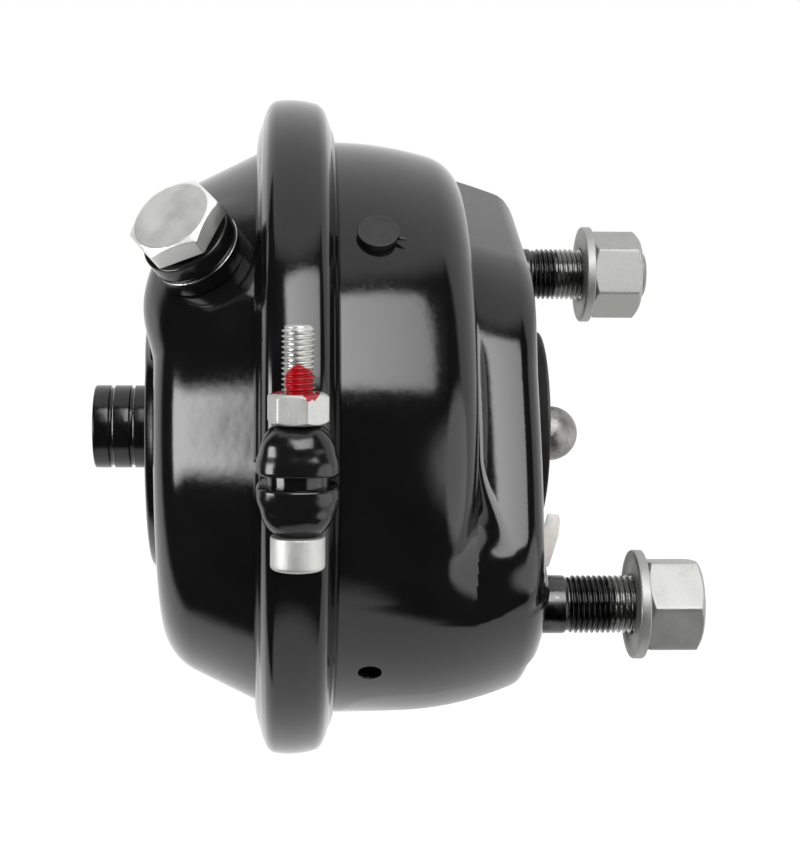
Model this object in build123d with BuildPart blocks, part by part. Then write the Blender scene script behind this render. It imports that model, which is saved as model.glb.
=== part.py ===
from build123d import *
from math import asin, cos, degrees, hypot, radians, sin, tan
import os

os.makedirs("parts", exist_ok=True)

# Lengths in mm and angles in degrees. +X points along the chamber to the brake caliper, +Z is up,
# and the origin is the centre of the mounting face.

# ---- clearances -------------------------------------------------------------------------------
gap = 0.3  # between pieces that never touch
fit = 0.05  # radial, a pin or a screw in its hole
sheet = 2.5  # pressed steel of both housings

# ---- studs ------------------------------------------------------------------------------------
stud_circle = 120.65  # diameter that both studs stand on
stud_clock = 36.0  # the stud line leans this far from +Z towards +Y
stud_grip_r = 8.3  # pressed into brace and housing
stud_neck_r = 8.0
stud_thread_r = 7.51  # threads are plain cylinders at their pitch radius
stud_end = 1.0
stud_out = 42.7  # from the mounting face to the stud's end
stud_neck = 6.4
stud_head_r = 10.0
stud_head = 4.0
washer_r = 15.0
washer_bore_r = 8.5
washer_t = 3.0
washer_edge = 0.3
nut_flats = 24.0
nut_h = 15.4
hex_crest = 0.95  # flat end of a hexagon against its width
upper_washer_x = 22.4
lower_washer_x = 24.8
upper_nut_turn = 30.0
lower_nut_turn = 0.0

# ---- mounting housing -------------------------------------------------------------------------
clamp_x = -68.0  # middle plane of the clamp band
cup_r = 83.0
shoulder_x = -21.2  # flat shoulder beside the platform
shoulder_start = -57.6  # where the wall starts to curve in
shoulder_bulge_r = 99.4
shoulder_corner_r = 12.8
crown_start = -37.5
crown_bulge_r = 77.7
crown_corner_r = 11.7
# half of the platform's outline where it leaves the shoulder: Y, Z of each corner and its rounding;
# the other half is the same, turned half round
platform_corners = [
    (-cup_r * 0.768, -cup_r * 1.178, cup_r * 0.298),
    (-cup_r * 0.725, -cup_r * 0.042, cup_r * 0.764),
    (-cup_r * 0.514, cup_r * 0.512, cup_r * 0.702),
]
platform_draft = 14.8
platform_edge_r = 5.9
platform_foot_r = 4.0  # hollow rounding where the platform leaves the shoulder
opening_r = 26.0  # hole in the mounting face
drain_r = 3.35
drain_x = -48.3
drain_clock = 142.0  # clock angles run from +Z towards -Y
drain_plug_x = -47.0
drain_plug_clock = 53.2
drain_cap_r = 5.3
drain_cap = 1.9

# ---- flanges and diaphragm --------------------------------------------------------------------
flange = 7.0  # both flanges stand out of the cup this far
flange_r = cup_r + flange
bead = 3.6  # rim of the diaphragm between both flanges
bead_in_r = cup_r - 6.0
rubber = 3.0

# ---- clamp band -------------------------------------------------------------------------------
band_crown = 14.5  # flat width on top
band_side = 18.1  # width below the rounded corners
band_foot = 21.8  # width at the open edge
band_drop = 3.6  # crown to the widest point of the corner
band_sheet = 2.8
band_room = 2.0  # from the flanges to the inside of the crown
band_r = flange_r + band_room + band_sheet
band_edge_r = 2.4
band_foot_r = cup_r + gap
lug_clock = 96.75
lug_rise = 10.7  # from the crown to the clamp bolt's axis
lug_r = band_r + lug_rise
lug_w = 19.7
lug_h = 11.8
lug_out = 8.8
lug_edge_r = 5.5
lug_gap = 3.0
clamp_bolt_r = 3.95
clamp_hole_r = 4.2
clamp_head_r = 6.5
clamp_head = 8.0
clamp_bolt_end = 36.4
clamp_nut_flats = 13.0
clamp_nut_h = 7.2
clamp_nut_turn = -12.0
clamp_edge = 0.5
spacer_r = 7.3
socket_flats = 6.0
socket_depth = 4.0

# ---- pressure housing -------------------------------------------------------------------------
back_x = -105.5
back_flat_r = cup_r - 26.8
back_corner_r = 16.5
back_cone = 25.0  # slope of the flare
dome_x = -109.2  # raised middle of the back
dome_foot_r = back_flat_r - 13.0
dome_r = dome_foot_r - 3.0
port_r = 12.1
port_bore_r = 7.19
port_duct_r = 4.0
port_groove = 0.7
port_land = 4.6
port_bore = 14.0
port_edge = 0.5
port_spigot_r = 9.0
port_groove_w = 1.3
axial_port_end = -126.3
angled_port_x = -96.9  # middle of the angled port's open face
angled_port_r = cup_r - 0.6
angled_port_clock = 53.1
angled_port_angle = 64.3  # from -X towards the outside
angled_port_length = 22.0
pad_depth = 15.3  # from the angled port's open face to the raised pad it stands on
pad_r = 20.5
pad_edge_r = 6.0
pad_draft = 15.0
plug_flats = 22.0
plug_head = 4.6
plug_shank = 9.0
seal = 1.6
seal_r = 9.6
plug_turn = 3.0

# ---- moving pieces ----------------------------------------------------------------------------
plate_r = back_flat_r - 8.2
plate_t = 3.0
plate_rim = 4.0
rod_r = 8.0
rod_end = 15.7
rod_sag_angle = 1.0  # the rod hangs this far below level at rest
foot_r = 12.0
socket_r = 16.0
socket_h = 9.0
coil_wire_r = 2.3
coil_big_r = plate_r - 6.5
coil_small_r = coil_big_r - 7.5
coil_turns = 6.0

# ---- boot and seat ----------------------------------------------------------------------------
lip_r = 28.4
lip_out = 3.6
lip_t = 1.2
boot_in_r = 22.4
boot_wall = 1.5
boot_bead = 4.0
boot_bead_r = 29.6
boot_fold_r = 13.6
boot_folds = 3
boot_pitch = 6.6
collar_r = 11.0
collar_w = 5.0
clip_t = 1.0
seat_flange_r = 39.0
seat_t = 1.5
seat_neck = 5.0
seat_neck_r = 28.5
brace_half = 30.0
brace_half_length = 69.8
brace_corner_r = 24.0

# ---- small plug in the face -------------------------------------------------------------------
vent_y = -14.0
vent_z = -34.0
vent_r = 3.0
vent_cap_r = 4.6
vent_cap = 1.2
tab_t = 1.2
tab_outline = [
    (0.6, -36.5), (0.6, -32.5), (3.9, -28.6), (5.0, -24.7), (8.3, -25.3), (8.6, -27.0), (8.2, -31.0),
    (6.8, -35.5), (5.4, -40.0), (4.6, -40.5),
]

side = Plane.XZ  # profiles are drawn here: x along the chamber, y the radius


def around(clock, radius, x=0.0):
    """Point at a clock angle about the chamber axis."""
    return (x, -radius * sin(radians(clock)), radius * cos(radians(clock)))


def radial(clock, radius, x):
    """Plane that faces outward at a clock angle."""
    return Plane(origin=around(clock, radius, x), x_dir=(1, 0, 0), z_dir=around(clock, 1))


def on_x(x, y=0.0, z=0.0):
    """Plane across the chamber, facing +X, with its x along +Y."""
    return Plane(origin=(x, y, z), x_dir=(0, 1, 0), z_dir=(1, 0, 0))


# the stud line is this plane's y; its x is across it
across = Plane(
    origin=(0, 0, 0),
    x_dir=(0, cos(radians(stud_clock)), -sin(radians(stud_clock))),
    z_dir=(1, 0, 0),
)
stud_at = stud_circle / 2
upper_stud_at = across.from_local_coords(Vector(0, stud_at, 0))
lower_stud_at = across.from_local_coords(Vector(0, -stud_at, 0))


def bowl(start, bulge_r, corner_r, front_x, inset=0.0):
    """Solid of revolution: straight wall, gentle bulge, round corner, flat front. inset shrinks it."""
    turn = degrees(asin((front_x - start - corner_r) / (bulge_r - corner_r)))
    with BuildPart() as body:
        with BuildSketch(side):
            with BuildLine():
                wall = Line((clamp_x, cup_r - inset), (start, cup_r - inset))
                bulge = JernArc(wall @ 1, (1, 0), bulge_r - inset, -turn)
                corner = JernArc(bulge @ 1, bulge % 1, corner_r - inset, turn - 90)
                Polyline(corner @ 1, (front_x - inset, 0), (clamp_x, 0), wall @ 0)
            make_face()
        revolve(axis=Axis.X)
    return body.part


def platform(inset=0.0):
    """The raised part that carries both studs, cut out of the deeper bowl."""
    floor_x = clamp_x + sheet
    wider = tan(radians(platform_draft)) * (shoulder_x - floor_x) - inset
    corners = [(hand * y, hand * z, r + wider) for hand in (1, -1) for y, z, r in platform_corners]
    with BuildPart() as block:
        with BuildSketch(on_x(floor_x)) as section:
            Polygon(*[(y, z) for y, z, r in corners], align=None)
            offset(amount=wider, kind=Kind.INTERSECTION)
            for y, z, r in corners:
                nearest = section.vertices().sort_by_distance((floor_x, y, z))
                fillet(nearest[0], r)
        extrude(amount=-floor_x - inset, taper=platform_draft)
        fillet(block.faces().sort_by(Axis.X)[-1].edges(), platform_edge_r - inset)
    with BuildPart() as body:
        add(bowl(crown_start, crown_bulge_r, crown_corner_r, 0.0, inset))
        add(block.part, mode=Mode.INTERSECT)
    return body.part


def at_platform_foot(edge):
    """True for an edge where the platform stands out of the shoulder and its round corner."""
    span, middle = edge.bounding_box(), edge.center()
    along = shoulder_x - shoulder_corner_r < span.min.X and span.max.X < shoulder_x + fit
    return along and hypot(middle.Y, middle.Z) < cup_r - platform_foot_r


def cup(inset=0.0, foot_r=0.0):
    """Shoulder bowl and platform together, with foot_r rounding the hollow corner between them."""
    with BuildPart() as body:
        add(bowl(shoulder_start, shoulder_bulge_r, shoulder_corner_r, shoulder_x, inset))
        add(platform(inset))
        if foot_r:
            curved = body.edges().filter_by(GeomType.CIRCLE, reverse=True)
            fillet(curved.filter_by(at_platform_foot), foot_r)
    return body.part


def leg_x(r):
    """Half the band's outside width at a radius between its corner and its foot."""
    share = (band_r - band_drop - r) / (band_r - band_drop - band_foot_r)
    return (band_side + share * (band_foot - band_side)) / 2


def flange_section(hand):
    """Flange outline beside the diaphragm rim, following the band's leg; hand is +1 or -1."""
    inner = clamp_x + hand * bead / 2
    leg = band_sheet + gap
    return [
        (inner, cup_r - sheet),
        (inner, flange_r),
        (clamp_x + hand * (leg_x(flange_r) - leg), flange_r),
        (clamp_x + hand * (leg_x(cup_r) - leg), cup_r),
        (clamp_x + hand * (leg_x(cup_r) - leg), cup_r - sheet),
    ]


# ================================ mounting side =================================================
hollow = cup(sheet)
with BuildPart() as mounting_housing:
    add(cup(0.0, platform_foot_r))
    add(hollow, mode=Mode.SUBTRACT)
    with BuildSketch(side):
        Polygon(*flange_section(1), align=None)
    revolve(axis=Axis.X)
    with BuildSketch(on_x(clamp_x - sheet)):
        Circle(cup_r + sheet)
    extrude(amount=sheet + bead / 2, mode=Mode.SUBTRACT)
    with BuildSketch(on_x(-2 * sheet)):
        Circle(opening_r)
    extrude(amount=3 * sheet, mode=Mode.SUBTRACT)
    with BuildSketch(across.offset(-2 * sheet)):
        with Locations((0, stud_at), (0, -stud_at)):
            Circle(stud_grip_r + fit)
    extrude(amount=3 * sheet, mode=Mode.SUBTRACT)
    with BuildSketch(on_x(-2 * sheet, vent_y, vent_z)):
        Circle(vent_r + fit)
    extrude(amount=3 * sheet, mode=Mode.SUBTRACT)
    for clock, x in ((drain_clock, drain_x), (drain_plug_clock, drain_plug_x)):
        with BuildSketch(radial(clock, cup_r - 2 * sheet, x)):
            Circle(drain_r)
        extrude(amount=4 * sheet, mode=Mode.SUBTRACT)
mounting_housing.part.label = "mounting_housing"

# Inner brace: spreads the load of both studs and carries the spring seat.
brace_x = -sheet - boot_bead
with BuildPart() as stud_brace:
    with BuildSketch(across.offset(brace_x)):
        RectangleRounded(2 * brace_half, 2 * brace_half_length, brace_corner_r)
        Circle(boot_bead_r + gap, mode=Mode.SUBTRACT)
        with Locations((0, stud_at), (0, -stud_at)):
            Circle(stud_grip_r + fit, mode=Mode.SUBTRACT)
    extrude(amount=boot_bead)
    add(cup(sheet + fit), mode=Mode.INTERSECT)
stud_brace.part.label = "stud_brace"


def stud(centre):
    """Headed stud: head behind the brace, grip in the sheet, smooth neck, thread, chamfered end."""
    at = on_x(0, centre.Y, centre.Z)
    with BuildPart() as piece:
        with BuildSketch(at.offset(brace_x - stud_head)):
            Circle(stud_head_r)
        extrude(amount=stud_head)
        with BuildSketch(at.offset(brace_x)):
            Circle(stud_grip_r)
        extrude(amount=-brace_x)
        with BuildSketch(at):
            Circle(stud_neck_r)
        extrude(amount=stud_neck)
        with BuildSketch(at.offset(stud_neck)):
            Circle(stud_thread_r)
        extrude(amount=stud_out - stud_neck)
        chamfer(piece.edges().sort_by(Axis.X)[-1], stud_end)
    return piece.part


def washer(centre, x):
    """Flat washer with its near face at x."""
    with BuildPart() as piece:
        with BuildSketch(on_x(x, centre.Y, centre.Z)):
            Circle(washer_r)
            Circle(washer_bore_r, mode=Mode.SUBTRACT)
        extrude(amount=washer_t)
        rims = piece.edges().filter_by(GeomType.CIRCLE)
        chamfer(rims.filter_by(lambda rim: rim.radius > washer_bore_r + fit), washer_edge)
    return piece.part


def hexagon(at, flats, height, bore_r, turn=0.0, both=True):
    """Hexagon standing on a plane, corners turned down at its far end or at both ends."""
    corner_r = flats / 2 / cos(radians(30))
    crest = corner_r - hex_crest * flats / 2
    with BuildPart() as blank:
        with BuildSketch(at):
            Circle(corner_r)
        extrude(amount=height)
        rims = blank.edges().filter_by(GeomType.CIRCLE).sort_by(at.location.z_axis)
        chamfer(rims if both else rims[-1:], crest * tan(radians(30)), crest)
    with BuildPart() as piece:
        with BuildSketch(at):
            RegularPolygon(flats / 2, 6, major_radius=False, rotation=turn)
        extrude(amount=height)
        add(blank.part, mode=Mode.INTERSECT)
        if bore_r:
            with BuildSketch(at):
                Circle(bore_r)
            extrude(amount=height, mode=Mode.SUBTRACT)
    return piece.part


upper_stud = stud(upper_stud_at)
upper_stud.label = "upper_stud"
lower_stud = stud(lower_stud_at)
lower_stud.label = "lower_stud"
upper_washer = washer(upper_stud_at, upper_washer_x)
upper_washer.label = "upper_washer"
lower_washer = washer(lower_stud_at, lower_washer_x)
lower_washer.label = "lower_washer"

upper_nut = hexagon(
    on_x(upper_washer_x + washer_t, upper_stud_at.Y, upper_stud_at.Z),
    nut_flats, nut_h, stud_thread_r + fit, upper_nut_turn,
)
upper_nut.label = "upper_nut"
lower_nut = hexagon(
    on_x(lower_washer_x + washer_t, lower_stud_at.Y, lower_stud_at.Z),
    nut_flats, nut_h, stud_thread_r + fit, lower_nut_turn,
)
lower_nut.label = "lower_nut"


def wall_plug(clock, x):
    """Push-in cap on the cup wall, round on top, its stem in the drain hole."""
    with BuildPart() as piece:
        with BuildSketch(radial(clock, cup_r - sheet, x)):
            Circle(drain_r - fit)
        extrude(amount=sheet + drain_cap / 2)
        with BuildSketch(radial(clock, cup_r - drain_cap / 2, x)):
            Circle(drain_cap_r)
        extrude(amount=drain_cap * 3 / 2)
        fillet(piece.faces().sort_by(radial(clock, 0, 0).location.z_axis)[-1].edges(), drain_cap / 2)
        add(cup(), mode=Mode.SUBTRACT)
    return piece.part


with BuildPart() as stem:
    with BuildSketch(radial(drain_plug_clock, cup_r - sheet, drain_plug_x)):
        Circle(drain_r - fit)
    extrude(amount=sheet)
drain_plug = wall_plug(drain_plug_clock, drain_plug_x) + stem.part
drain_plug.label = "drain_plug"

# Small white plug in the mounting face, with a pull tab standing out.
with BuildPart() as face_plug:
    with BuildSketch(on_x(-sheet, vent_y, vent_z)):
        Circle(vent_r)
    extrude(amount=sheet)
    with BuildSketch(on_x(0, vent_y, vent_z)):
        Circle(vent_cap_r)
    extrude(amount=vent_cap)
    with BuildSketch(side.offset(-vent_y - tab_t / 2)):
        Polygon(*tab_outline, align=None)
    extrude(amount=tab_t)
face_plug.part.label = "face_plug"

# ================================ pressure side =================================================


def back(inset=0.0, middle_x=back_x):
    """Solid of revolution behind the clamp: flat or raised middle, round corner, flared wall."""
    with BuildPart() as body:
        with BuildSketch(side):
            with BuildLine():
                face = Polyline(
                    (middle_x + inset, 0),
                    (middle_x + inset, dome_r),
                    (back_x + inset, dome_foot_r),
                    (back_x + inset, back_flat_r),
                )
                corner = JernArc(face @ 1, (0, 1), back_corner_r - inset, back_cone - 90)
                rise = (clamp_x - (corner @ 1).X) * tan(radians(back_cone))
                Polyline(corner @ 1, (clamp_x, (corner @ 1).Y + rise), (clamp_x, 0), face @ 0)
            make_face()
        revolve(axis=Axis.X)
    return body.part


angled_out = around(angled_port_clock, sin(radians(angled_port_angle)), -cos(radians(angled_port_angle)))
angled_face = Plane(
    origin=around(angled_port_clock, angled_port_r, angled_port_x),
    x_dir=(0, angled_out[2], -angled_out[1]),
    z_dir=angled_out,
)
axial_face = Plane(origin=(axial_port_end, 0, 0), x_dir=(0, 0, 1), z_dir=(-1, 0, 0))

# raised pad that the angled port stands on
with BuildPart() as pad:
    with BuildSketch(angled_face.offset(-pad_depth)):
        Circle(pad_r)
    extrude(amount=-pad_edge_r * 2, taper=-pad_draft)
    fillet(pad.edges().sort_by_distance(angled_face.origin)[0], pad_edge_r)

with BuildPart() as pressure_housing:
    add(back(0.0, dome_x))
    add(pad.part)
    add(back(sheet, dome_x), mode=Mode.SUBTRACT)
    with BuildSketch(side):
        Polygon(*flange_section(-1), align=None)
    revolve(axis=Axis.X)
    with BuildSketch(on_x(clamp_x - bead / 2)):
        Circle(cup_r + sheet)
    extrude(amount=-clamp_x, mode=Mode.SUBTRACT)
    with BuildSketch(axial_face):
        Circle(port_spigot_r + fit)
    extrude(amount=2 * axial_port_end - 2 * clamp_x, mode=Mode.SUBTRACT)
    with BuildSketch(angled_face):
        Circle(port_duct_r)
    extrude(amount=-angled_port_length - 2 * port_land, mode=Mode.SUBTRACT)
pressure_housing.part.label = "pressure_housing"


def grooved_boss(at, length):
    """Port boss behind its open face: two turned grooves outside, threaded bore inside."""
    with BuildPart() as piece:
        with BuildSketch(at):
            Circle(port_r)
        extrude(amount=-length)
        chamfer(piece.edges().filter_by(GeomType.CIRCLE), port_edge)
        for ring in (1, 2):
            with BuildSketch(at.offset(-ring * (port_land + port_groove_w))):
                Circle(port_r)
                Circle(port_r - port_groove, mode=Mode.SUBTRACT)
            extrude(amount=port_groove_w, mode=Mode.SUBTRACT)
        with BuildSketch(at):
            Circle(port_bore_r)
        extrude(amount=-port_bore, mode=Mode.SUBTRACT)
        with BuildSketch(at):
            Circle(port_duct_r)
        extrude(amount=-length, mode=Mode.SUBTRACT)
    return piece.part


with BuildPart() as axial_port:
    add(grooved_boss(axial_face, dome_x - axial_port_end))
    with BuildSketch(on_x(dome_x)):
        Circle(port_spigot_r)
        Circle(port_duct_r, mode=Mode.SUBTRACT)
    extrude(amount=sheet)
axial_port.part.label = "axial_port"

with BuildPart() as angled_port:
    add(grooved_boss(angled_face, angled_port_length))
    add(back(0.0, dome_x), mode=Mode.SUBTRACT)
    add(pad.part, mode=Mode.SUBTRACT)
angled_port.part.label = "angled_port"

with BuildPart() as plug_seal:
    with BuildSketch(angled_face):
        Circle(seal_r)
        Circle(port_bore_r, mode=Mode.SUBTRACT)
    extrude(amount=seal)
plug_seal.part.label = "plug_seal"

with BuildPart() as port_plug:
    add(hexagon(angled_face.offset(seal), plug_flats, plug_head, 0, plug_turn, both=False))
    with BuildSketch(angled_face.offset(seal)):
        Circle(port_bore_r - fit)
    extrude(amount=-plug_shank)
    chamfer(port_plug.edges().filter_by(GeomType.CIRCLE).sort_by(angled_face.location.z_axis)[0], port_edge)
port_plug.part.label = "port_plug"

# ================================ moving assembly ===============================================
slack = sheet + gap
with BuildPart() as diaphragm:
    add(back(slack))
    add(back(slack + rubber), mode=Mode.SUBTRACT)
    with BuildSketch(on_x(clamp_x - bead / 2)):
        Circle(flange_r)
    extrude(amount=-clamp_x, mode=Mode.SUBTRACT)
    with BuildSketch(on_x(clamp_x - bead / 2)):
        Circle(flange_r - gap)
        Circle(bead_in_r, mode=Mode.SUBTRACT)
    extrude(amount=bead)
diaphragm.part.label = "diaphragm"

plate_x = back_x + slack + rubber
pivot_x = plate_x + plate_t + foot_r + gap
with BuildPart() as push_plate:
    with BuildSketch(on_x(plate_x)):
        Circle(plate_r)
    extrude(amount=plate_t)
    with BuildSketch(on_x(plate_x)):
        Circle(plate_r)
        Circle(plate_r - sheet, mode=Mode.SUBTRACT)
    extrude(amount=plate_t + plate_rim)
    with BuildSketch(on_x(plate_x)):
        Circle(socket_r)
    extrude(amount=plate_t + socket_h)
    fillet(push_plate.edges().filter_by(GeomType.CIRCLE).sort_by(Axis.X)[0], plate_t / 2)
    with Locations((pivot_x, 0, 0)):
        Sphere(foot_r + gap, mode=Mode.SUBTRACT)
push_plate.part.label = "push_plate"

rod_line = Plane(
    origin=(pivot_x, 0, 0),
    x_dir=(0, 1, 0),
    z_dir=(cos(radians(rod_sag_angle)), 0, -sin(radians(rod_sag_angle))),
)
rod_length = rod_end - rod_r - pivot_x
with BuildPart() as push_rod:
    with BuildSketch(rod_line):
        Circle(rod_r)
    extrude(amount=rod_length)
    with Locations(rod_line.location, rod_line.offset(rod_length).location):
        Sphere(rod_r)
    with Locations(rod_line.location):
        Sphere(foot_r)
push_rod.part.label = "push_rod"

coil_start = plate_x + plate_t + coil_wire_r
coil_end = brace_x - seat_t - coil_wire_r
with BuildPart() as return_spring:
    with BuildLine():
        coil = Helix(
            pitch=(coil_end - coil_start) / coil_turns,
            height=coil_end - coil_start,
            radius=coil_big_r,
            center=(coil_start, 0, 0),
            direction=(1, 0, 0),
            cone_angle=degrees(-asin((coil_big_r - coil_small_r) / (coil_end - coil_start))),
        )
    with BuildSketch(Plane(origin=coil @ 0, z_dir=coil % 0)):
        Circle(coil_wire_r)
    sweep(is_frenet=True)
return_spring.part.label = "return_spring"

# ================================ boot ==========================================================
with BuildPart() as spring_seat:
    with BuildSketch(on_x(brace_x - seat_t)):
        Circle(seat_flange_r)
        Circle(seat_neck_r - seat_t, mode=Mode.SUBTRACT)
    extrude(amount=seat_t)
    with BuildSketch(on_x(brace_x - seat_t - seat_neck)):
        Circle(seat_neck_r)
        Circle(seat_neck_r - seat_t, mode=Mode.SUBTRACT)
    extrude(amount=seat_neck)
spring_seat.part.label = "spring_seat"

fold_x = brace_x + boot_wall / 2
fold_out_r = boot_in_r + boot_wall
creases = [
    (fold_x - n * boot_pitch / 2, boot_fold_r if n % 2 else fold_out_r)
    for n in range(2 * boot_folds + 1)
]
collar_x = creases[-1][0] - boot_pitch / 2
creases.append((collar_x, collar_r - boot_wall / 2))
collar_at = rod_line.offset(collar_x - pivot_x - collar_w)
with BuildPart() as boot:
    with BuildSketch(side):
        Polygon(
            (brace_x, boot_in_r),
            (brace_x, boot_bead_r),
            (-sheet, boot_bead_r),
            (-sheet, opening_r - gap),
            (0, opening_r - gap),
            (0, (opening_r + lip_r) / 2),
            (lip_out - lip_t / 2, lip_r),
            (lip_out, lip_r),
            (lip_out, lip_r - lip_t),
            (lip_t, opening_r),
            (lip_t, boot_in_r),
            align=None,
        )
        Polygon(*creases, *[(x - boot_wall, r) for x, r in reversed(creases)], align=None)
    revolve(axis=Axis.X)
    with BuildSketch(collar_at):
        Circle(collar_r)
    extrude(amount=collar_w)
    with BuildSketch(collar_at.offset(-collar_w)):
        Circle(rod_r + gap)
    extrude(amount=3 * collar_w, mode=Mode.SUBTRACT)
boot.part.label = "boot"

with BuildPart() as boot_clip:
    with BuildSketch(collar_at.offset(gap)):
        Circle(collar_r + gap + clip_t)
        Circle(collar_r + gap, mode=Mode.SUBTRACT)
    extrude(amount=collar_w / 2 - gap)
boot_clip.part.label = "boot_clip"

# ================================ clamp =========================================================
lug_at = Plane(
    origin=around(lug_clock, lug_r, clamp_x),
    x_dir=(1, 0, 0),
    z_dir=(0, cos(radians(lug_clock)), sin(radians(lug_clock))),
)
lug_top = lug_gap / 2 + lug_h
lug_root = lug_r - band_r + band_sheet / 2
corner_w = band_side / 2
outline = [(band_foot / 2, band_foot_r), (corner_w, band_r - band_drop), (band_crown / 2, band_r)]
hollow_w = corner_w - band_sheet
lining = [(band_foot / 2 - band_sheet, band_foot_r), (hollow_w, band_r - band_drop), (hollow_w, band_r - band_sheet)]


def across_band(half):
    """Band outline on both sides of its middle plane, from one half of it."""
    return [(clamp_x - x, r) for x, r in half] + [(clamp_x + x, r) for x, r in reversed(half)]


def lug(hand):
    """Rounded ear on one side of the band's gap, flat towards the gap."""
    with BuildPart() as piece:
        with BuildSketch(lug_at.offset(hand * lug_gap / 2)):
            with Locations((0, (lug_root - lug_out) / 2)):
                RectangleRounded(lug_w, lug_root + lug_out, lug_edge_r)
        extrude(amount=hand * lug_h)
        far = piece.faces().sort_by(lug_at.location.z_axis)[-1 if hand > 0 else 0]
        fillet(far.edges(), lug_edge_r - fit)
    return piece.part


with BuildPart() as clamp_band:
    with BuildSketch(side) as section:
        Polygon(*across_band(outline), align=None)
        fillet(section.vertices().filter_by(lambda v: v.Y > band_foot_r + fit), band_edge_r)
        Polygon(*across_band(lining), align=None, mode=Mode.SUBTRACT)
    revolve(axis=Axis.X)
    with BuildSketch(lug_at.offset(-lug_gap / 2)):
        with Locations((0, lug_root)):
            Rectangle(2 * band_foot, 2 * lug_w)
    extrude(amount=lug_gap, mode=Mode.SUBTRACT)
    add(lug(1))
    add(lug(-1))
    with BuildSketch(lug_at.offset(-lug_top)):
        Circle(clamp_hole_r)
    extrude(amount=2 * lug_top, mode=Mode.SUBTRACT)
clamp_band.part.label = "clamp_band"

with BuildPart() as clamp_spacer:
    with BuildSketch(lug_at.offset(-lug_gap / 2)):
        Circle(spacer_r)
        Circle(clamp_hole_r, mode=Mode.SUBTRACT)
    extrude(amount=lug_gap)
clamp_spacer.part.label = "clamp_spacer"

with BuildPart() as clamp_bolt:
    with BuildSketch(lug_at.offset(-lug_top - clamp_head)):
        Circle(clamp_head_r)
    extrude(amount=clamp_head)
    with BuildSketch(lug_at.offset(-lug_top)):
        Circle(clamp_bolt_r)
    extrude(amount=lug_top + clamp_bolt_end)
    ends = clamp_bolt.edges().filter_by(GeomType.CIRCLE).sort_by(lug_at.location.z_axis)
    chamfer([ends[0], ends[-1]], clamp_edge)
    with BuildSketch(lug_at.offset(-lug_top - clamp_head)):
        RegularPolygon(socket_flats / 2, 6, major_radius=False)
    extrude(amount=socket_depth, mode=Mode.SUBTRACT)
clamp_bolt.part.label = "clamp_bolt"

clamp_nut = hexagon(lug_at.offset(lug_top), clamp_nut_flats, clamp_nut_h, clamp_bolt_r + fit, clamp_nut_turn)
clamp_nut.label = "clamp_nut"

# ================================ export ========================================================
built = [
    mounting_housing, stud_brace, face_plug, pressure_housing, axial_port, angled_port, plug_seal,
    port_plug, diaphragm, push_plate, push_rod, return_spring, spring_seat, boot, boot_clip,
    clamp_band, clamp_spacer, clamp_bolt,
]
plain = [
    upper_stud, lower_stud, upper_washer, lower_washer, upper_nut, lower_nut, drain_plug, clamp_nut,
]
for piece in [context.part for context in built] + plain:
    export_step(piece, f"parts/{piece.label}.step")
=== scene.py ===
import bmesh
import bpy
import math
import numpy as np
from functools import partial
from mathutils import Matrix, Vector


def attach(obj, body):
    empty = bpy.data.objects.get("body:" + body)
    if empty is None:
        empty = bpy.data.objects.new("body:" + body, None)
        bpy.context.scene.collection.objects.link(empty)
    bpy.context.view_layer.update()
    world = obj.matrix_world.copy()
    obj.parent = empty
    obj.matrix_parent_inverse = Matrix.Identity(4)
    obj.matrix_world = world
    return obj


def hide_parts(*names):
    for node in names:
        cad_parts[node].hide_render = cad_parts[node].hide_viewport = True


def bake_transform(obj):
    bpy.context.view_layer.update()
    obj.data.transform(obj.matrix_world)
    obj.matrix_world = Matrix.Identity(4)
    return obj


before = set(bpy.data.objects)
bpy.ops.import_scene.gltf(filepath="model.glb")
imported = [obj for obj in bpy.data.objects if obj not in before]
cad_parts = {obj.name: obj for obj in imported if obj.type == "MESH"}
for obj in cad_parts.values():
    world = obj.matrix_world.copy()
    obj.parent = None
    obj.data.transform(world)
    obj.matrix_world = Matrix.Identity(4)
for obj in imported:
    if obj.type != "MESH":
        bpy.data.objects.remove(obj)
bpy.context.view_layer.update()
mm = 0.001
print("frame loaded:", len(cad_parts), "solids")

# where things are, in mm from the middle of the mounting face: +X to the caliper, +Z up
clampX = -68.0
cupR = 83.0
sheetT = 2.5
studAngle = math.radians(36.0)
studR = 60.325
upperStud = (studR * math.sin(studAngle), studR * math.cos(studAngle))
lowerStud = (-upperStud[0], -upperStud[1])


# every mesh is worked out in mm and written in metres
def makeMesh(name, points, faces, material, normals=None):
    data = bpy.data.meshes.new(name)
    corners = [tuple(int(i) for i in face) for face in faces]
    data.from_pydata((np.asarray(points, float) * mm).tolist(), [], corners)
    data.materials.append(material)
    data.polygons.foreach_set("use_smooth", [True] * len(data.polygons))
    data.update()
    if normals is None:
        work = bmesh.new()
        work.from_mesh(data)
        bmesh.ops.recalc_face_normals(work, faces=work.faces)
        work.to_mesh(data)
        work.free()
    else:
        data.normals_split_custom_set_from_vertices([tuple(n) for n in normals])
    piece = bpy.data.objects.new(name, data)
    bpy.context.scene.collection.objects.link(piece)
    return piece


# quads of a grid that closes on itself along its columns
def gridFaces(rows, cols, offset=0, flip=False):
    r, c = np.meshgrid(np.arange(rows - 1), np.arange(cols), indexing="ij")
    a, b = (r * cols + c).ravel(), (r * cols + (c + 1) % cols).ravel()
    quads = np.stack([a, b, b + cols, a + cols], 1) + offset
    return quads[:, ::-1] if flip else quads
# faces that join the grid's last row to its first
def closingFaces(rows, cols):
    last = (rows - 1) * cols
    return [[last + c, last + (c + 1) % cols, (c + 1) % cols, c] for c in range(cols)]


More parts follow.
